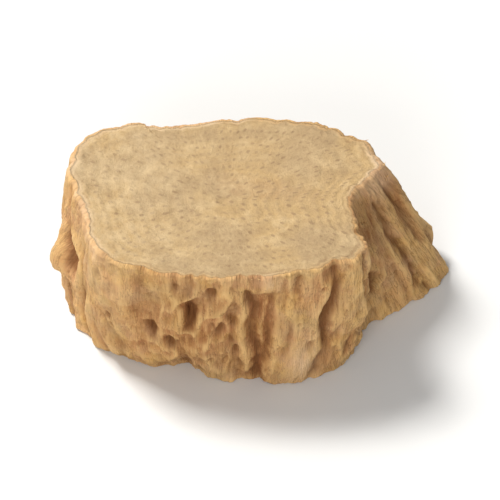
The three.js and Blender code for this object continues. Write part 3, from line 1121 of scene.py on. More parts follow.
@dataclass
class FrayedFibres:
    """Short fibre ends that stand out of the bark, most of them along the edges of the two cuts."""

    edge_count: int = 44
    side_count: int = 36
    shortest: float = 0.2
    longest: float = 0.6
    thickness: float = 0.05
    buried: float = 0.08
    rim_gap: float = 0.2
    lowest: float = 0.15
    least_rough: float = 0.3
    lean_out: tuple[float, float] = (0.25, 0.6)
    lean_aside: float = 0.35
    bend_aside: float = 0.3
    bend_in: tuple[float, float] = (0.0, 0.3)
    bend_up: float = 0.05
    roots_seed: int = 61
    paths_seed: int = 62
    tapered: float = 0.94
    taper_power: float = 0.6
    steps: int = 7
    sides: int = 6

    def roots(self, skin: bpy.types.Object) -> tuple[Array, Array]:
        """Choose where the fibres grow.

        Args:
            skin: The slice's skin, whose marks tell the bark from the cuts and the edges from the rest.

        Returns:
            The points in millimetres and the directions straight out of the surface.
        """
        mesh = skin.data
        count = len(mesh.vertices)
        vectors = np.empty((2, 3 * count), dtype=np.float32)
        mesh.vertices.foreach_get("co", vectors[0])
        mesh.vertices.foreach_get("normal", vectors[1])
        points, normals = vectors.astype(float).reshape(2, count, 3) * np.array([1 / MM, 1.0])[:, None, None]
        marks = np.empty((3, count), dtype=np.float32)
        for values, name in zip(marks, ("edge", "share", "rough")):
            mesh.attributes[name].data.foreach_get("value", values)
        edge, share, rough = marks
        bark = (share > 0.999) & (np.abs(normals[:, 2]) < 0.8) & (points[:, 2] > self.lowest)
        tufts = bark * np.clip(rough - self.least_rough, 0, None) ** 3
        rng = np.random.default_rng(self.roots_seed)
        kinds = ((self.edge_count, tufts * (edge > 0.5)), (self.side_count, tufts * (edge < 0.1)))
        picked = np.concatenate([
            rng.choice(count, size, replace=False, p=weight / weight.sum()) for size, weight in kinds
        ])
        return points[picked], normals[picked]

    def paths(self, points: Array, normals: Array) -> tuple[Array, Array]:
        """Draw the fibres' middle lines.

        A middle line starts a little under the surface. It runs straight by its lean, a direction
        between outwards and lengthways, and bends by the square of the way along it.

        Args:
            points: Where the fibres grow.
            normals: The directions straight out of the surface there.

        Returns:
            The middle lines and, for each fibre, the direction square to its bend.
        """
        rng = np.random.default_rng(self.paths_seed)
        count = len(points)
        outward = normals * (1.0, 1.0, 0.0)
        outward /= np.linalg.norm(outward, axis=1, keepdims=True)
        up = np.array([0.0, 0.0, 1.0])
        beside = np.cross(up, outward)
        top = RootShape.height - self.rim_gap
        room = np.clip(np.minimum(points[:, 2:], top - points[:, 2:]), 0.1, 1.0)
        upward = room * rng.choice((-1.0, 1.0), (count, 1))
        upward = np.where(points[:, 2:] < 1.0, np.abs(upward), upward)
        lean = outward * rng.uniform(*self.lean_out, (count, 1))
        lean = lean + beside * rng.normal(0.0, self.lean_aside, (count, 1))
        lean = lean + up * upward
        bend = beside * rng.normal(0.0, self.bend_aside, (count, 1))
        bend = bend - outward * rng.uniform(*self.bend_in, (count, 1))
        bend = bend + self.bend_up * up
        length = rng.uniform(self.shortest, self.longest, (count, 1))
        along = np.linspace(0.0, 1.0, self.steps)[:, None, None]
        lines = points - self.buried * normals + length * (along * lean + along**2 * bend)
        square = np.cross(lean, bend)
        return np.swapaxes(lines, 0, 1), square / np.linalg.norm(square, axis=1, keepdims=True)

    def build(self, skin: bpy.types.Object) -> bpy.types.Object:
        """Build all the fibres as one mesh of round tubes, closed at both ends.

        A tube's radius falls by a power of the way left to its tip.

        Args:
            skin: The slice's skin.

        Returns:
            The fibres.
        """
        lines, square = self.paths(*self.roots(skin))
        count = len(lines)
        forward = np.gradient(lines, axis=1)
        forward /= np.linalg.norm(forward, axis=2, keepdims=True)
        square = np.broadcast_to(square[:, None], forward.shape)
        across = np.cross(square, forward)
        turn = np.arange(self.sides) / self.sides * 2 * np.pi
        taper = self.thickness * (1 - np.linspace(0.0, self.tapered, self.steps)) ** self.taper_power
        round_it = across[:, :, None] * np.cos(turn)[:, None] + square[:, :, None] * np.sin(turn)[:, None]
        rings = lines[:, :, None] + round_it * taper[:, None, None]
        points = np.concatenate([rings.reshape(count, -1, 3), lines[:, :1], lines[:, -1:]], axis=1)
        ring = np.arange(self.steps * self.sides).reshape(self.steps, self.sides)
        after = np.roll(ring, -1, axis=1)
        quads = np.stack([ring[:-1], after[:-1], after[1:], ring[1:]], axis=-1).reshape(-1, 4)
        root, tip = np.full(self.sides, ring.size), np.full(self.sides, ring.size + 1)
        ends = np.concatenate([
            np.stack([after[0], ring[0], root], axis=1),
            np.stack([ring[-1], after[-1], tip], axis=1),
        ])
        starts = np.arange(count)[:, None, None] * points.shape[1]
        flat = points.reshape(-1, 3)
        mesh = mesh_from_faces(
            "frayed_fibres", flat * MM, (quads + starts).reshape(-1, 4), (ends + starts).reshape(-1, 3)
        )
        put_attribute(mesh, "place", flat)
        return new_object("frayed_fibres", mesh)

    def dress(self, fibres: bpy.types.Object, grain: Tree) -> None:
        """Give the fibres their finish, and tell which body they belong to.

        Args:
            fibres: The fibres.
            grain: The group of the dry fibre grain.
        """
        fibres.data.materials.append(FibreFinish().material(grain))
        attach(fibres, "root")


def join_rings(ring: Array, after: Array) -> tuple[Array, Array]:
    """Return the faces between two closed rings of points.

    Rings with as many points are joined by four-sided faces. Where one ring has a whole number of times
    the other's points, each point of the coarse one takes a fan of triangles and one more to the next.

    Args:
        ring: Point numbers of the first ring.
        after: Point numbers of the ring that follows it.

    Returns:
        The four-sided faces and the triangles, either of which may be empty.
    """
    none4, none3 = np.zeros((0, 4), dtype=int), np.zeros((0, 3), dtype=int)
    if len(ring) == len(after):
        return np.stack([ring, np.roll(ring, -1), np.roll(after, -1), after], axis=1), none3
    fine, coarse = (ring, after) if len(ring) > len(after) else (after, ring)
    ratio = len(fine) // len(coarse)
    near = (np.arange(len(fine)) + ratio // 2) // ratio % len(coarse)
    fan = np.stack([fine, np.roll(fine, -1), coarse[near]], axis=1)
    turn = np.nonzero(near != np.roll(near, -1))[0]
    link = np.stack([np.roll(fine, -1)[turn], coarse[np.roll(near, -1)[turn]], coarse[near[turn]]], axis=1)
    faces = np.concatenate([fan, link])
    return none4, faces if len(ring) > len(after) else faces[:, ::-1]


def mesh_from_faces(name: str, points: Array, quads: Array, triangles: Array) -> bpy.types.Mesh:
    """Make a smooth-shaded mesh.

    Args:
        name: The mesh's name.
        points: Its points, in metres.
        quads: Its four-sided faces, which come first.
        triangles: Its triangles.

    Returns:
        The mesh.
    """
    mesh = bpy.data.meshes.new(name)
    corners = np.concatenate([quads.ravel(), triangles.ravel()]).astype(np.int32)
    sizes = np.concatenate([np.full(len(quads), 4), np.full(len(triangles), 3)])
    mesh.vertices.add(len(points))
    mesh.vertices.foreach_set("co", points.astype(np.float32).ravel())
    mesh.loops.add(len(corners))
    mesh.loops.foreach_set("vertex_index", corners)
    mesh.polygons.add(len(sizes))
    mesh.polygons.foreach_set("loop_start", np.concatenate([[0], np.cumsum(sizes)[:-1]]).astype(np.int32))
    mesh.polygons.foreach_set("use_smooth", np.ones(len(sizes), dtype=bool))
    mesh.update(calc_edges=True)
    mesh.validate()
    return mesh


def new_object(name: str, data: bpy.types.ID) -> bpy.types.Object:
    """Put a mesh, a camera or a light into the scene.

    Args:
        name: The object's name.
        data: What it shows.

    Returns:
        The object, at the origin.
    """
    made = bpy.data.objects.new(name, data)
    bpy.context.scene.collection.objects.link(made)
    return made


def put_attribute(mesh: bpy.types.Mesh, name: str, values: Array) -> None:
    """Store a mark in a mesh, under a name that materials can read.

    Args:
        mesh: The mesh.
        name: The mark's name.
        values: One number or one vector a point.
    """
    kind, slot = ("FLOAT", "value") if values.ndim == 1 else ("FLOAT_VECTOR", "vector")
    attribute = mesh.attributes.new(name, kind, "POINT")
    attribute.data.foreach_set(slot, values.astype(np.float32).ravel())


class Nodes:
    """A short way to write shader nodes: most methods add a node or a few, and return what they put out."""

    def __init__(self, tree: Tree) -> None:
        """Start in an empty node tree."""
        self.tree = tree
        tree.nodes.clear()

    def add(self, kind: str, **settings: object) -> bpy.types.Node:
        """Add a node.

        Args:
            kind: The node's kind.
            **settings: Its settings by name.

        Returns:
            The node.
        """
        node = self.tree.nodes.new(kind)
        for name, value in settings.items():
            setattr(node, name, value)
        return node

    def feed(self, socket: Socket, value: object) -> None:
        """Link a socket to another, or set it to a plain value.

        Args:
            socket: The socket that is fed.
            value: A socket, a number or a colour.
        """
        if isinstance(value, Socket):
            self.tree.links.new(value, socket)
        elif isinstance(value, tuple) and socket.type == "RGBA":
            socket.default_value = (*value, 1.0)
        else:
            socket.default_value = value

    def mark(self, name: str) -> Socket:
        """Read one of the piece's own attributes as a number."""
        return self.add("ShaderNodeAttribute", attribute_name=name).outputs["Fac"]

    def place(self, name: str) -> Socket:
        """Read one of the piece's own attributes as a vector."""
        return self.add("ShaderNodeAttribute", attribute_name=name).outputs["Vector"]

    def maths(self, operation: str, *values: object, clamp: bool = False) -> Socket:
        """Do one sum.

        Args:
            operation: Which sum.
            *values: One, two or three numbers.
            clamp: Whether the result is held between 0 and 1.

        Returns:
            The result.
        """
        node = self.add("ShaderNodeMath", operation=operation, use_clamp=clamp)
        for socket, value in zip(node.inputs, values):
            self.feed(socket, value)
        return node.outputs[0]

    def times(self, first: object, second: object) -> Socket:
        """Multiply two numbers."""
        return self.maths("MULTIPLY", first, second)

    def ramp(self, value: object, low: float, high: float, start: float = 0.0, end: float = 1.0) -> Socket:
        """Carry a number smoothly from one range to another, held at its ends.

        Args:
            value: The number.
            low: Where its own range starts.
            high: Where its own range ends.
            start: What low becomes.
            end: What high becomes.

        Returns:
            The new number.
        """
        node = self.add("ShaderNodeMapRange", interpolation_type="SMOOTHSTEP")
        names = ("Value", "From Min", "From Max", "To Min", "To Max")
        for name, setting in zip(names, (value, low, high, start, end)):
            self.feed(node.inputs[name], setting)
        return node.outputs["Result"]

    def crease(self, value: object, width: float) -> Socket:
        """Return 1 on the lines where a noise crosses its middle, and 0 from a width away from them."""
        return self.ramp(self.maths("ABSOLUTE", self.maths("SUBTRACT", value, 0.5)), 0.0, width, 1.0, 0.0)

    def stretch(self, vector: Socket, by: Triple) -> Socket:
        """Stretch a vector.

        Args:
            vector: The vector.
            by: What its three numbers are multiplied by.

        Returns:
            The new vector.
        """
        node = self.add("ShaderNodeVectorMath", operation="MULTIPLY")
        self.feed(node.inputs[0], vector)
        node.inputs[1].default_value = by
        return node.outputs[0]

    def span(self, operation: str, vector: Socket, other: Triple) -> Socket:
        """Measure a vector against a fixed one.

        Args:
            operation: DISTANCE or DOT_PRODUCT.
            vector: The vector.
            other: The fixed vector.

        Returns:
            Their distance or their dot product.
        """
        node = self.add("ShaderNodeVectorMath", operation=operation)
        self.feed(node.inputs[0], vector)
        node.inputs[1].default_value = other
        return node.outputs["Value"]

    def noise(self, vector: object, scale: float, detail: float = 3.0, rough: float = 0.55) -> Socket:
        """Read smooth noise.

        Args:
            vector: Where it is read.
            scale: How fine it is.
            detail: How many finer layers it has.
            rough: How strong each layer is against the one before.

        Returns:
            A number between 0 and 1, mostly near a half.
        """
        node = self.add("ShaderNodeTexNoise")
        self.feed(node.inputs["Vector"], vector)
        node.inputs["Scale"].default_value = scale
        node.inputs["Detail"].default_value = detail
        node.inputs["Roughness"].default_value = rough
        return node.outputs["Fac"]

    def mix(self, share: object, first: object, second: object) -> Socket:
        """Mix two colours.

        Args:
            share: The second colour's share.
            first: The first colour.
            second: The second colour.

        Returns:
            The mixed colour.
        """
        node = self.add("ShaderNodeMix", data_type="RGBA", clamp_factor=True)
        for number, value in zip((0, 6, 7), (share, first, second)):
            self.feed(node.inputs[number], value)
        return node.outputs[2]

    def layers(self, colour: Socket, *tints: Tint) -> Socket:
        """Lay tints over a colour, one after the other.

        Args:
            colour: The colour.
            *tints: Each tint, after its mask and the share at which it shows there.

        Returns:
            The new colour.
        """
        for mask, share, tint in tints:
            colour = self.mix(self.times(mask, share), colour, tint)
        return colour

    def length(self, first: Socket, second: Socket) -> Socket:
        """Return the root of the sum of two numbers' squares."""
        squares = [self.times(part, part) for part in (first, second)]
        return self.maths("SQRT", self.maths("ADD", *squares))

    def bump(self, shader: bpy.types.Node, height: object, strength: float, depth: float) -> None:
        """Roughen a shader's surface by a height.

        Args:
            shader: The shader.
            height: The height, from 0 to 1.
            strength: How strongly it tells.
            depth: The millimetres that its whole range stands for.
        """
        node = self.add("ShaderNodeBump")
        node.inputs["Strength"].default_value = strength
        node.inputs["Distance"].default_value = depth * MM
        self.feed(node.inputs["Height"], height)
        self.feed(shader.inputs["Normal"], node.outputs[0])

    def group(self, tree: Tree, **values: object) -> dict[str, Socket]:
        """Place a node group.

        Args:
            tree: The group.
            **values: What its inputs are fed, by their names in small letters.

        Returns:
            What it puts out, by name.
        """
        node = self.add("ShaderNodeGroup", node_tree=tree)
        for name, value in values.items():
            self.feed(node.inputs[name.replace("_", " ").capitalize()], value)
        return {socket.name: socket for socket in node.outputs}


def new_group(
    name: str, inputs: dict[str, tuple[str, object]], outputs: dict[str, str]
) -> tuple[Nodes, dict[str, Socket], bpy.types.Node]:
    """Start a node group with named sockets.

    Args:
        name: The group's name.
        inputs: Each input's socket kind and first value.
        outputs: Each output's socket kind.

    Returns:
        The node writer, the group's inputs by name, and its output node.
    """
    tree = bpy.data.node_groups.new(name, "ShaderNodeTree")
    nodes = Nodes(tree)
    for label, (kind, value) in inputs.items():
        socket = tree.interface.new_socket(label, in_out="INPUT", socket_type=kind)
        if value is not None:
            socket.default_value = value
    for label, kind in outputs.items():
        tree.interface.new_socket(label, in_out="OUTPUT", socket_type=kind)
    source = nodes.add("NodeGroupInput")
    given = {socket.name: socket for socket in source.outputs if socket.name}
    return nodes, given, nodes.add("NodeGroupOutput")


@dataclass(frozen=True)
class SharedEffects:
    """The effects that more than one finish uses, each made once as a node group."""

    starch: Colour = (0.67, 0.51, 0.305)
    crack_width: float = 0.03

    def grain(self) -> Tree:
        """Make the dry fibre grain from four sizes of noise.

        Returns:
            A group that puts out a height for the bump, a tone, and thin cracks.
        """
        nodes, given, out = new_group(
            "dry_grain",
            {"Place": ("NodeSocketVector", None), "Fineness": ("NodeSocketFloat", 1.0)},
            {"Height": "NodeSocketFloat", "Tone": "NodeSocketFloat", "Cracks": "NodeSocketFloat"},
        )
        scaled = nodes.add("ShaderNodeVectorMath", operation="SCALE")
        nodes.feed(scaled.inputs[0], given["Place"])
        nodes.feed(scaled.inputs["Scale"], given["Fineness"])
        place = scaled.outputs[0]
        coarse = nodes.noise(place, 2.6, 4.0, 0.6)
        fine = nodes.noise(place, 8.0, 3.0, 0.65)
        powder = nodes.noise(place, 24.0, 2.0, 0.5)
        wrinkled = nodes.noise(place, 1.9, 5.0, 0.62)
        folds = nodes.maths("ABSOLUTE", nodes.maths("SUBTRACT", wrinkled, 0.5))
        height = nodes.maths("MULTIPLY_ADD", fine, 0.5, nodes.times(powder, 0.25))
        height = nodes.maths("MULTIPLY_ADD", coarse, 0.4, height)
        nodes.feed(out.inputs["Height"], nodes.maths("MULTIPLY_ADD", folds, 2.4, height))
        nodes.feed(out.inputs["Cracks"], nodes.crease(wrinkled, self.crack_width))
        tone = nodes.maths("MULTIPLY_ADD", fine, 0.45, nodes.times(coarse, 0.55))
        nodes.feed(out.inputs["Tone"], tone)
        return nodes.tree

    def dust(self) -> Tree:
        """Make the pale starch dust that clings to the slice.

        Returns:
            A group that lightens a colour where noise and a mask say.
        """
        nodes, given, out = new_group(
            "starch_dust",
            {
                "Colour": ("NodeSocketColor", None),
                "Place": ("NodeSocketVector", None),
                "Amount": ("NodeSocketFloat", 0.3),
                "Mask": ("NodeSocketFloat", 1.0),
            },
            {"Colour": "NodeSocketColor"},
        )
        patches = nodes.ramp(nodes.noise(given["Place"], 0.8, 5.0, 0.7), 0.3, 0.7)
        amount = nodes.times(nodes.times(patches, given["Amount"]), given["Mask"])
        nodes.feed(out.inputs["Colour"], nodes.mix(amount, given["Colour"], self.starch))
        return nodes.tree


def new_material(name: str) -> tuple[bpy.types.Material, Nodes, bpy.types.Node]:
    """Start a material with one Principled shader.

    Args:
        name: The material's name.

    Returns:
        The material, its node writer and the shader.
    """
    material = bpy.data.materials.new(name)
    material.use_nodes = True
    nodes = Nodes(material.node_tree)
    shader = nodes.add("ShaderNodeBsdfPrincipled")
    output = nodes.add("ShaderNodeOutputMaterial")
    material.node_tree.links.new(shader.outputs[0], output.inputs[0])
    return material, nodes, shader


@dataclass(frozen=True)
class BarkFinish:
    """Dry cork: yellow-brown to grey-brown, with painted shade in its furrows and paler on its raised ridges.
    """

    tan: Colour = (0.64, 0.355, 0.124)
    brown: Colour = (0.39, 0.18, 0.055)
    grey: Colour = (0.47, 0.305, 0.142)
    rust_and_shade: Colour = (0.36, 0.145, 0.05)
    rubbed: Colour = (0.81, 0.515, 0.21)
    shade: Colour = (0.18, 0.07, 0.022)
    bare: Colour = (0.63, 0.345, 0.13)
    scraped_and_lit: Colour = (0.80, 0.535, 0.32)
    golden: Colour = (0.74, 0.46, 0.15)
    pinkish: Colour = (0.70, 0.37, 0.19)
    hue_share: float = 0.42
    dust_share: float = 0.2
    gloss: float = 0.16
    bump_depth: float = 0.19

    def material(self, grain: Tree, dust: Tree) -> bpy.types.Material:
        """Make the material.

        Args:
            grain: The group of the dry fibre grain.
            dust: The group of the starch dust.

        Returns:
            The material.
        """
        material, nodes, shader = new_material("dry_cork")
        place = nodes.place("place")
        lengthways = nodes.stretch(place, (1.0, 1.0, 0.16))
        fine = nodes.group(grain, place=lengthways, fineness=1.0)
        smooth = nodes.ramp(nodes.mark("rough"), 0.15, 0.75, 1.0, 0.0)
        streaks = nodes.ramp(nodes.noise(lengthways, 1.9, 6.0, 0.62), 0.34, 0.66)
        streaks = nodes.maths("MULTIPLY_ADD", smooth, 0.55, streaks, clamp=True)
        hue = nodes.ramp(nodes.noise(place, 0.42, 3.0, 0.55), 0.42, 0.58)
        colour = nodes.mix(streaks, self.brown, self.tan)
        colour = nodes.mix(self.hue_share, colour, nodes.mix(hue, self.golden, self.pinkish))
        colour = nodes.layers(colour, *self.tints(nodes, place, smooth, fine))
        clean = nodes.maths("SUBTRACT", 1.0, nodes.maths("MAXIMUM", nodes.mark("rust_and_shade"), nodes.mark("hollow")))
        dusted = nodes.group(dust, colour=colour, place=place, amount=self.dust_share, mask=clean)
        nodes.feed(shader.inputs["Base Color"], dusted["Colour"])
        nodes.feed(shader.inputs["Roughness"], nodes.ramp(fine["Tone"], 0.3, 0.7, 0.92, 0.74))
        shader.inputs["Specular IOR Level"].default_value = self.gloss
        nodes.bump(shader, fine["Height"], 1.0, self.bump_depth)
        return material

    def tints(self, nodes: Nodes, place: Socket, smooth: Socket, fine: dict[str, Socket]) -> list[Tint]:
        """Return the tints laid over the cork, from the lowest to the topmost.

        Args:
            nodes: The material's node writer.
            place: The place on the straight column.
            smooth: Where the cork is hardly wrinkled.
            fine: What the grain puts out.

        Returns:
            Each tint, after its mask and its share.
        """
        tone = fine["Tone"]
        blotches = nodes.ramp(nodes.noise(place, 0.33, 4.0, 0.6), 0.4, 0.64)
        bare = nodes.maths("SUBTRACT", 1.0, nodes.mark("flake"))
        rust_and_shade = nodes.times(nodes.mark("rust_and_shade"), nodes.ramp(tone, 0.35, 0.6, 0.4, 1.0))
        crest = nodes.times(nodes.mark("crest"), nodes.ramp(tone, 0.35, 0.62, 0.3, 1.0))
        flecks = nodes.ramp(nodes.noise(nodes.stretch(place, (1.0, 1.0, 0.45)), 4.2, 4.0, 0.65), 0.56, 0.66)
        cracks = nodes.times(fine["Cracks"], nodes.maths("MULTIPLY_ADD", smooth, -0.2, 0.5))
        specks = nodes.ramp(nodes.noise(place, 3.1, 3.0, 0.6), 0.62, 0.72)
        # Paler along both cut edges: partly wear, and partly a painted highlight on the rims.
        rim_band = nodes.times(nodes.mark("edge"), nodes.ramp(nodes.noise(place, 0.9, 3.0), 0.35, 0.65))
        scraped_and_lit = nodes.times(nodes.mark("scraped_and_lit"), nodes.ramp(tone, 0.35, 0.6, 0.5, 1.0))
        return [
            (blotches, 0.5, self.grey),
            (bare, 0.6, self.bare),
            # Reddish rust, which is painted shade on the right and its shoulder and partly in the left
            # hollow.
            (rust_and_shade, 0.95, self.rust_and_shade),
            (crest, 0.8, self.rubbed),
            (flecks, 0.3, self.rubbed),
            (cracks, 1.0, self.shade),
            # Painted shade in the bark's recesses and in the left hollow.
            (nodes.mark("hollow"), 0.8, self.shade),
            (specks, 0.45, self.shade),
            (rim_band, 0.45, self.rubbed),
            # Pale scrapes, with painted highlight along the rims and the right corner and painted light down
            # the left side.
            (scraped_and_lit, 0.85, self.scraped_and_lit),
        ]


@dataclass(frozen=True)
class CutFinish:
    """The cut wood: matt greyish tan, warmer in patches, with darker vascular dots in rings."""

    tan: Colour = (0.515, 0.345, 0.158)
    warm: Colour = (0.565, 0.365, 0.15)
    grey: Colour = (0.44, 0.305, 0.16)
    pale: Colour = (0.645, 0.475, 0.26)
    dot: Colour = (0.27, 0.17, 0.09)
    line: Colour = (0.26, 0.145, 0.065)
    cork: Colour = (0.56, 0.35, 0.16)
    scraped_and_lit: Colour = (0.78, 0.58, 0.37)
    stain: Colour = (0.42, 0.255, 0.125)
    warm_place: Triple = (1.8, 4.1, 12.4)
    yellow_place: Triple = (-6.7, 2.1, 12.4)
    stain_place: Triple = (2.9, 1.3, 12.4)
    stain_half: tuple[float, float] = (5.0, 1.5)
    stain_turn: float = -12.0
    arc_towards: Triple = (0.5, 0.87, 0.0)
    arc_share: float = 0.52
    fine_lines: float = 110.0
    dots_a_ring: float = 10.4
    ring_turn: float = 0.37
    dust_share: float = 0.5
    gloss: float = 0.2
    bump_depth: float = 0.10

    def material(self, grain: Tree, dust: Tree) -> bpy.types.Material:
        """Make the material.

        Args:
            grain: The group of the dry fibre grain.
            dust: The group of the starch dust.

        Returns:
            The material.
        """
        material, nodes, shader = new_material("cut_root")
        place, share = nodes.place("place"), nodes.mark("share")
        fine = nodes.group(grain, place=place, fineness=1.0)
        colour = self.ringed(nodes, share, self.wood(nodes, place, share))
        colour = nodes.layers(colour, *self.tints(nodes, place, share, fine))
        # Starch dust that thins from left to right; the fall stands in for painted light from the left.
        dust_and_left_light = nodes.ramp(nodes.span("DOT_PRODUCT", place, (1.0, 0.0, 0.0)), -10.0, 3.0, 1.0, 0.25)
        dusted = nodes.group(dust, colour=colour, place=place, amount=self.dust_share, mask=dust_and_left_light)
        nodes.feed(shader.inputs["Base Color"], dusted["Colour"])
        nodes.feed(shader.inputs["Roughness"], nodes.ramp(fine["Tone"], 0.3, 0.7, 0.96, 0.84))
        shader.inputs["Specular IOR Level"].default_value = self.gloss
        nodes.bump(shader, fine["Height"], 0.9, self.bump_depth)
        return material

    def wood(self, nodes: Nodes, place: Socket, share: Socket) -> Socket:
        """Return the wood's own colour: patches, a stain, clouds, a grey arc, fine lines and rays.

        Args:
            nodes: The material's node writer.
            place: The place on the cut.
            share: The share of the way out from the middle.

        Returns:
            The colour.
        """
        patches = nodes.ramp(nodes.noise(place, 0.2, 3.0, 0.5), 0.4, 0.6)
        near = nodes.ramp(nodes.span("DISTANCE", place, self.warm_place), 0.8, 3.6, 1.0, 0.0)
        yellow = nodes.ramp(nodes.span("DISTANCE", place, self.yellow_place), 0.6, 2.6, 1.0, 0.0)
        clouds = nodes.noise(place, 0.62, 4.0, 0.6)
        from_arc = nodes.maths("ABSOLUTE", nodes.maths("SUBTRACT", share, self.arc_share))
        arc_side = nodes.ramp(nodes.span("DOT_PRODUCT", place, self.arc_towards), 1.0, 5.0)
        arc = nodes.times(nodes.ramp(from_arc, 0.04, 0.2, 1.0, 0.0), arc_side)
        wander = nodes.maths("MULTIPLY_ADD", nodes.noise(place, 0.5, 3.0, 0.6), 0.06, share)
        lines = nodes.maths("SINE", nodes.times(wander, self.fine_lines))
        outwards = nodes.stretch(nodes.place("ray"), (1.0, 1.0, 0.35))
        rays = nodes.ramp(nodes.noise(outwards, 2.6, 3.0, 0.6), 0.5, 0.68)
        return nodes.layers(
            nodes.mix(patches, self.grey, self.tan),
            (near, 0.6, self.warm),
            (yellow, 0.5, self.pale),
            (self.stained(nodes, place), 0.5, self.stain),
            (nodes.ramp(clouds, 0.48, 0.68), 0.5, self.pale),
            (nodes.ramp(clouds, 0.34, 0.52, 1.0, 0.0), 0.26, self.dot),
            (arc, 0.4, self.grey),
            (nodes.ramp(lines, 0.0, 1.0), 0.06, self.dot),
            (rays, 0.13, self.pale),
        )

    def tints(self, nodes: Nodes, place: Socket, share: Socket, fine: dict[str, Socket]) -> list[Tint]:
        """Return the tints laid over the rings of dots, from the lowest to the topmost.

        Args:
            nodes: The material's node writer.
            place: The place on the cut.
            share: The share of the way out from the middle.
            fine: What the grain puts out.

        Returns:
            Each tint, after its mask and its share.
        """
        scraped_and_lit = nodes.mark("scraped_and_lit")
        pores = nodes.ramp(nodes.noise(place, 6.5, 1.0, 0.5), 0.66, 0.74)
        uneven = nodes.maths("MULTIPLY_ADD", nodes.noise(place, 1.1, 4.0, 0.65), 0.06, share)
        edge = nodes.times(nodes.ramp(uneven, 0.968, 0.986), nodes.ramp(uneven, 0.992, 1.012, 1.0, 0.0))
        broken = nodes.ramp(nodes.noise(place, 0.6, 3.0, 0.6), 0.42, 0.62)
        broken = nodes.times(broken, nodes.ramp(scraped_and_lit, 0.05, 0.4, 1.0, 0.15))
        return [
            (pores, 0.45, self.dot),
            (nodes.times(edge, broken), 0.45, self.line),
            (nodes.ramp(uneven, 1.0, 1.02), 0.85, self.cork),
            # The bark's pale scrapes and painted highlight, carried onto the upper cut's rim.
            (scraped_and_lit, 0.8, self.scraped_and_lit),
            (nodes.ramp(fine["Tone"], 0.4, 0.6, 1.0, 0.0), 0.16, self.dot),
        ]

    def ringed(self, nodes: Nodes, share: Socket, colour: Socket) -> Socket:
        """Lay the bands and the vascular dots over a colour.

        Half-way between two whole levels lies a ring. It holds a whole number of dots, evenly spaced by
        their angle round the root, and each dot has a strength and a small shift of its own.

        Args:
            nodes: The material's node writer.
            share: The share of the way out from the middle.
            colour: The colour so far.

        Returns:
            The new colour.
        """
        level = nodes.mark("level")
        ring = nodes.maths("FLOOR", level)
        across = nodes.maths("SUBTRACT", nodes.maths("SUBTRACT", level, ring), 0.5)
        inner = nodes.ramp(share, 0.92, 0.955, 1.0, 0.0)
        band = nodes.times(nodes.ramp(nodes.maths("ABSOLUTE", across), 0.08, 0.4, 1.0, 0.0), inner)
        count = nodes.maths("MULTIPLY_ADD", ring, self.dots_a_ring, 0.5 * self.dots_a_ring)
        count = nodes.maths("ROUND", count)
        parts = nodes.add("ShaderNodeSeparateXYZ")
        nodes.feed(parts.inputs[0], nodes.place("ray"))
        angle = nodes.maths("ARCTAN2", parts.outputs["Y"], parts.outputs["X"])
        cell = nodes.times(nodes.maths("DIVIDE", angle, 2 * math.pi), count)
        cell = nodes.maths("MULTIPLY_ADD", ring, self.ring_turn, cell)
        nearest = nodes.maths("ROUND", cell)
        own = nodes.add("ShaderNodeTexWhiteNoise", noise_dimensions="2D")
        key = nodes.add("ShaderNodeCombineXYZ")
        nodes.feed(key.inputs["X"], ring)
        nodes.feed(key.inputs["Y"], nodes.maths("FLOORED_MODULO", nearest, count))
        nodes.feed(own.inputs["Vector"], key.outputs[0])
        luck = nodes.add("ShaderNodeSeparateColor")
        nodes.feed(luck.inputs[0], own.outputs["Color"])
        beside = nodes.maths("SUBTRACT", cell, nearest)
        beside = nodes.maths("ADD", beside, nodes.maths("MULTIPLY_ADD", luck.outputs["Red"], 0.3, -0.15))
        shifted = nodes.maths("ADD", across, nodes.maths("MULTIPLY_ADD", luck.outputs["Green"], 0.16, -0.08))
        dots = nodes.times(nodes.ramp(nodes.length(beside, shifted), 0.12, 0.26, 1.0, 0.0), inner)
        strength = nodes.ramp(luck.outputs["Blue"], 0.1, 0.9, 0.2, 0.65)
        return nodes.layers(colour, (band, 0.24, self.grey), (nodes.times(dots, strength), 1.0, self.dot))

    def stained(self, nodes: Nodes, place: Socket) -> Socket:
        """Return the mask of the brownish stain.

        It is a drawn-out oval that slants across the cut, with a wavering edge.

        Args:
            nodes: The material's node writer.
            place: The place on the cut.

        Returns:
            A number from 0 to 1.
        """
        turn = math.radians(self.stain_turn)
        along = Vector((math.cos(turn), math.sin(turn), 0.0)) / self.stain_half[0]
        across = Vector((-math.sin(turn), math.cos(turn), 0.0)) / self.stain_half[1]
        middle = Vector(self.stain_place)
        wavering = nodes.maths("MULTIPLY_ADD", nodes.noise(place, 0.55, 4.0, 0.6), 1.0, -0.5)
        far, beside = (
            nodes.maths("SUBTRACT", nodes.span("DOT_PRODUCT", place, tuple(line)), line.dot(middle))
            for line in (along, across)
        )
        away = nodes.maths("ADD", nodes.length(far, beside), wavering)
        return nodes.ramp(away, 0.35, 1.15, 1.0, 0.0)


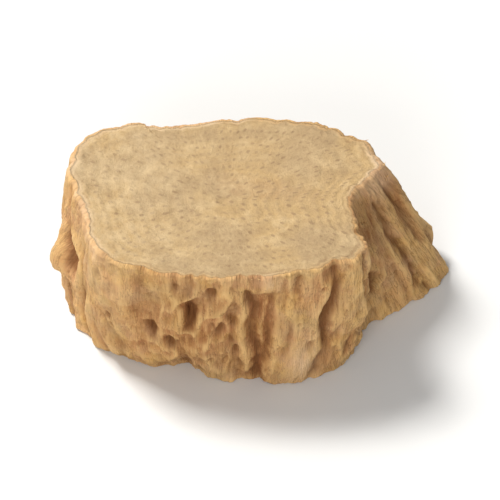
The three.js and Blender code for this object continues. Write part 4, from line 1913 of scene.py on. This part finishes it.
@dataclass(frozen=True)
class FibreFinish:
    """Torn fibre: dry straw colour, browner in places."""

    straw: Colour = (0.72, 0.47, 0.21)
    brown: Colour = (0.42, 0.21, 0.075)
    fineness: float = 1.4
    gloss: float = 0.3
    bump_depth: float = 0.02

    def material(self, grain: Tree) -> bpy.types.Material:
        """Make the material.

        Args:
            grain: The group of the dry fibre grain.

        Returns:
            The material.
        """
        material, nodes, shader = new_material("torn_fibre")
        place = nodes.place("place")
        fine = nodes.group(grain, place=place, fineness=self.fineness)
        stained = nodes.ramp(nodes.noise(place, 0.5, 2.0, 0.5), 0.42, 0.62)
        colour = nodes.mix(nodes.times(stained, 0.7), self.straw, self.brown)
        colour = nodes.layers(colour, (nodes.ramp(fine["Tone"], 0.4, 0.6, 1.0, 0.0), 0.3, self.brown))
        nodes.feed(shader.inputs["Base Color"], colour)
        nodes.feed(shader.inputs["Roughness"], nodes.ramp(fine["Tone"], 0.3, 0.7, 0.9, 0.7))
        shader.inputs["Specular IOR Level"].default_value = self.gloss
        nodes.bump(shader, fine["Height"], 0.5, self.bump_depth)
        return material


@dataclass(frozen=True)
class Lamp:
    """A square area light that faces the origin. Its place and size are metres, and its power is watts."""

    name: str
    place: Triple
    size: float
    power: float
    colour: Colour

    def build(self) -> None:
        """Put the light into the scene."""
        data = bpy.data.lights.new(self.name, "AREA")
        data.size, data.energy, data.color = self.size, self.power, self.colour
        lamp = new_object(self.name, data)
        lamp.location = self.place
        lamp.rotation_euler = Vector(self.place).to_track_quat("Z", "Y").to_euler()


LAMPS = (
    Lamp("key", place=(-0.30, 0.22, 0.55), size=0.18, power=5.0, colour=(1.0, 0.985, 0.96)),
    Lamp("fill", place=(-0.15, -0.63, 0.35), size=0.4, power=2.6, colour=(1.0, 1.0, 1.0)),
)


@dataclass
class Studio:
    """A pale floor, soft lights and a long lens at the viewing angle of the photograph."""

    elevation: float = math.radians(48.0)
    distance: float = 0.8
    sensor: float = 36.0
    filled: float = 0.80
    clip: tuple[float, float] = (0.01, 10.0)
    floor_size: float = 3.0
    floor_colour: Colour = (0.74, 0.74, 0.73)
    floor_roughness: float = 0.9
    sky_strength: float = 0.35

    def build(self, low: Array, high: Array) -> None:
        """Set up the camera, the floor, the light from all round and the lamps.

        Args:
            low: The lower corner of the box that the camera aims at.
            high: The upper corner of the box.
        """
        self.camera(low, high)
        self.floor()
        self.world()
        for lamp in LAMPS:
            lamp.build()

    def camera(self, low: Array, high: Array) -> None:
        """Aim a camera at the middle of the box, with the box's width filling a share of the square frame.

        Args:
            low: The box's lower corner.
            high: The box's upper corner.
        """
        middle = Vector((low + high) / 2)
        direction = Vector((0.0, -math.cos(self.elevation), math.sin(self.elevation)))
        width = float(high[0] - low[0]) / self.filled
        data = bpy.data.cameras.new("camera")
        data.sensor_width = self.sensor
        data.lens = self.sensor * self.distance / width
        data.clip_start, data.clip_end = self.clip
        camera = new_object("camera", data)
        camera.location = middle + direction * self.distance
        camera.rotation_euler = direction.to_track_quat("Z", "Y").to_euler()
        bpy.context.scene.camera = camera

    def floor(self) -> None:
        """Lay a plain pale floor at the height that the slice stands on."""
        half = self.floor_size / 2
        corners = np.array([[-half, -half, 0], [half, -half, 0], [half, half, 0], [-half, half, 0]])
        mesh = mesh_from_faces("floor", corners, np.array([[0, 1, 2, 3]]), np.zeros((0, 3), dtype=int))
        material, _, shader = new_material("pale_floor")
        shader.inputs["Base Color"].default_value = (*self.floor_colour, 1.0)
        shader.inputs["Roughness"].default_value = self.floor_roughness
        mesh.materials.append(material)
        new_object("floor", mesh)

    def world(self) -> None:
        """Light everything faintly from all round."""
        world = bpy.data.worlds.new("studio")
        world.use_nodes = True
        background = world.node_tree.nodes["Background"]
        background.inputs["Color"].default_value = (1.0, 1.0, 1.0, 1.0)
        background.inputs["Strength"].default_value = self.sky_strength
        bpy.context.scene.world = world
        bpy.context.scene.view_settings.view_transform = "Standard"


def main() -> None:
    """Build the slice, dress it, and set up the studio."""
    logging.basicConfig(level=logging.INFO, format="%(name)s: %(message)s")
    effects = SharedEffects()
    grain, dust = effects.grain(), effects.dust()
    slice_skin = RootSliceSkin(RootShape())
    skin = slice_skin.build()
    slice_skin.dress(skin, grain, dust)
    frayed = FrayedFibres()
    fibres = frayed.build(skin)
    frayed.dress(fibres, grain)
    for piece in (skin, fibres):
        log.info("%s: %d points, %d faces", piece.name, len(piece.data.vertices), len(piece.data.polygons))
    Studio().build(*(np.array(corner) for corner in cad_box))


if __name__ == "__main__":
    main()
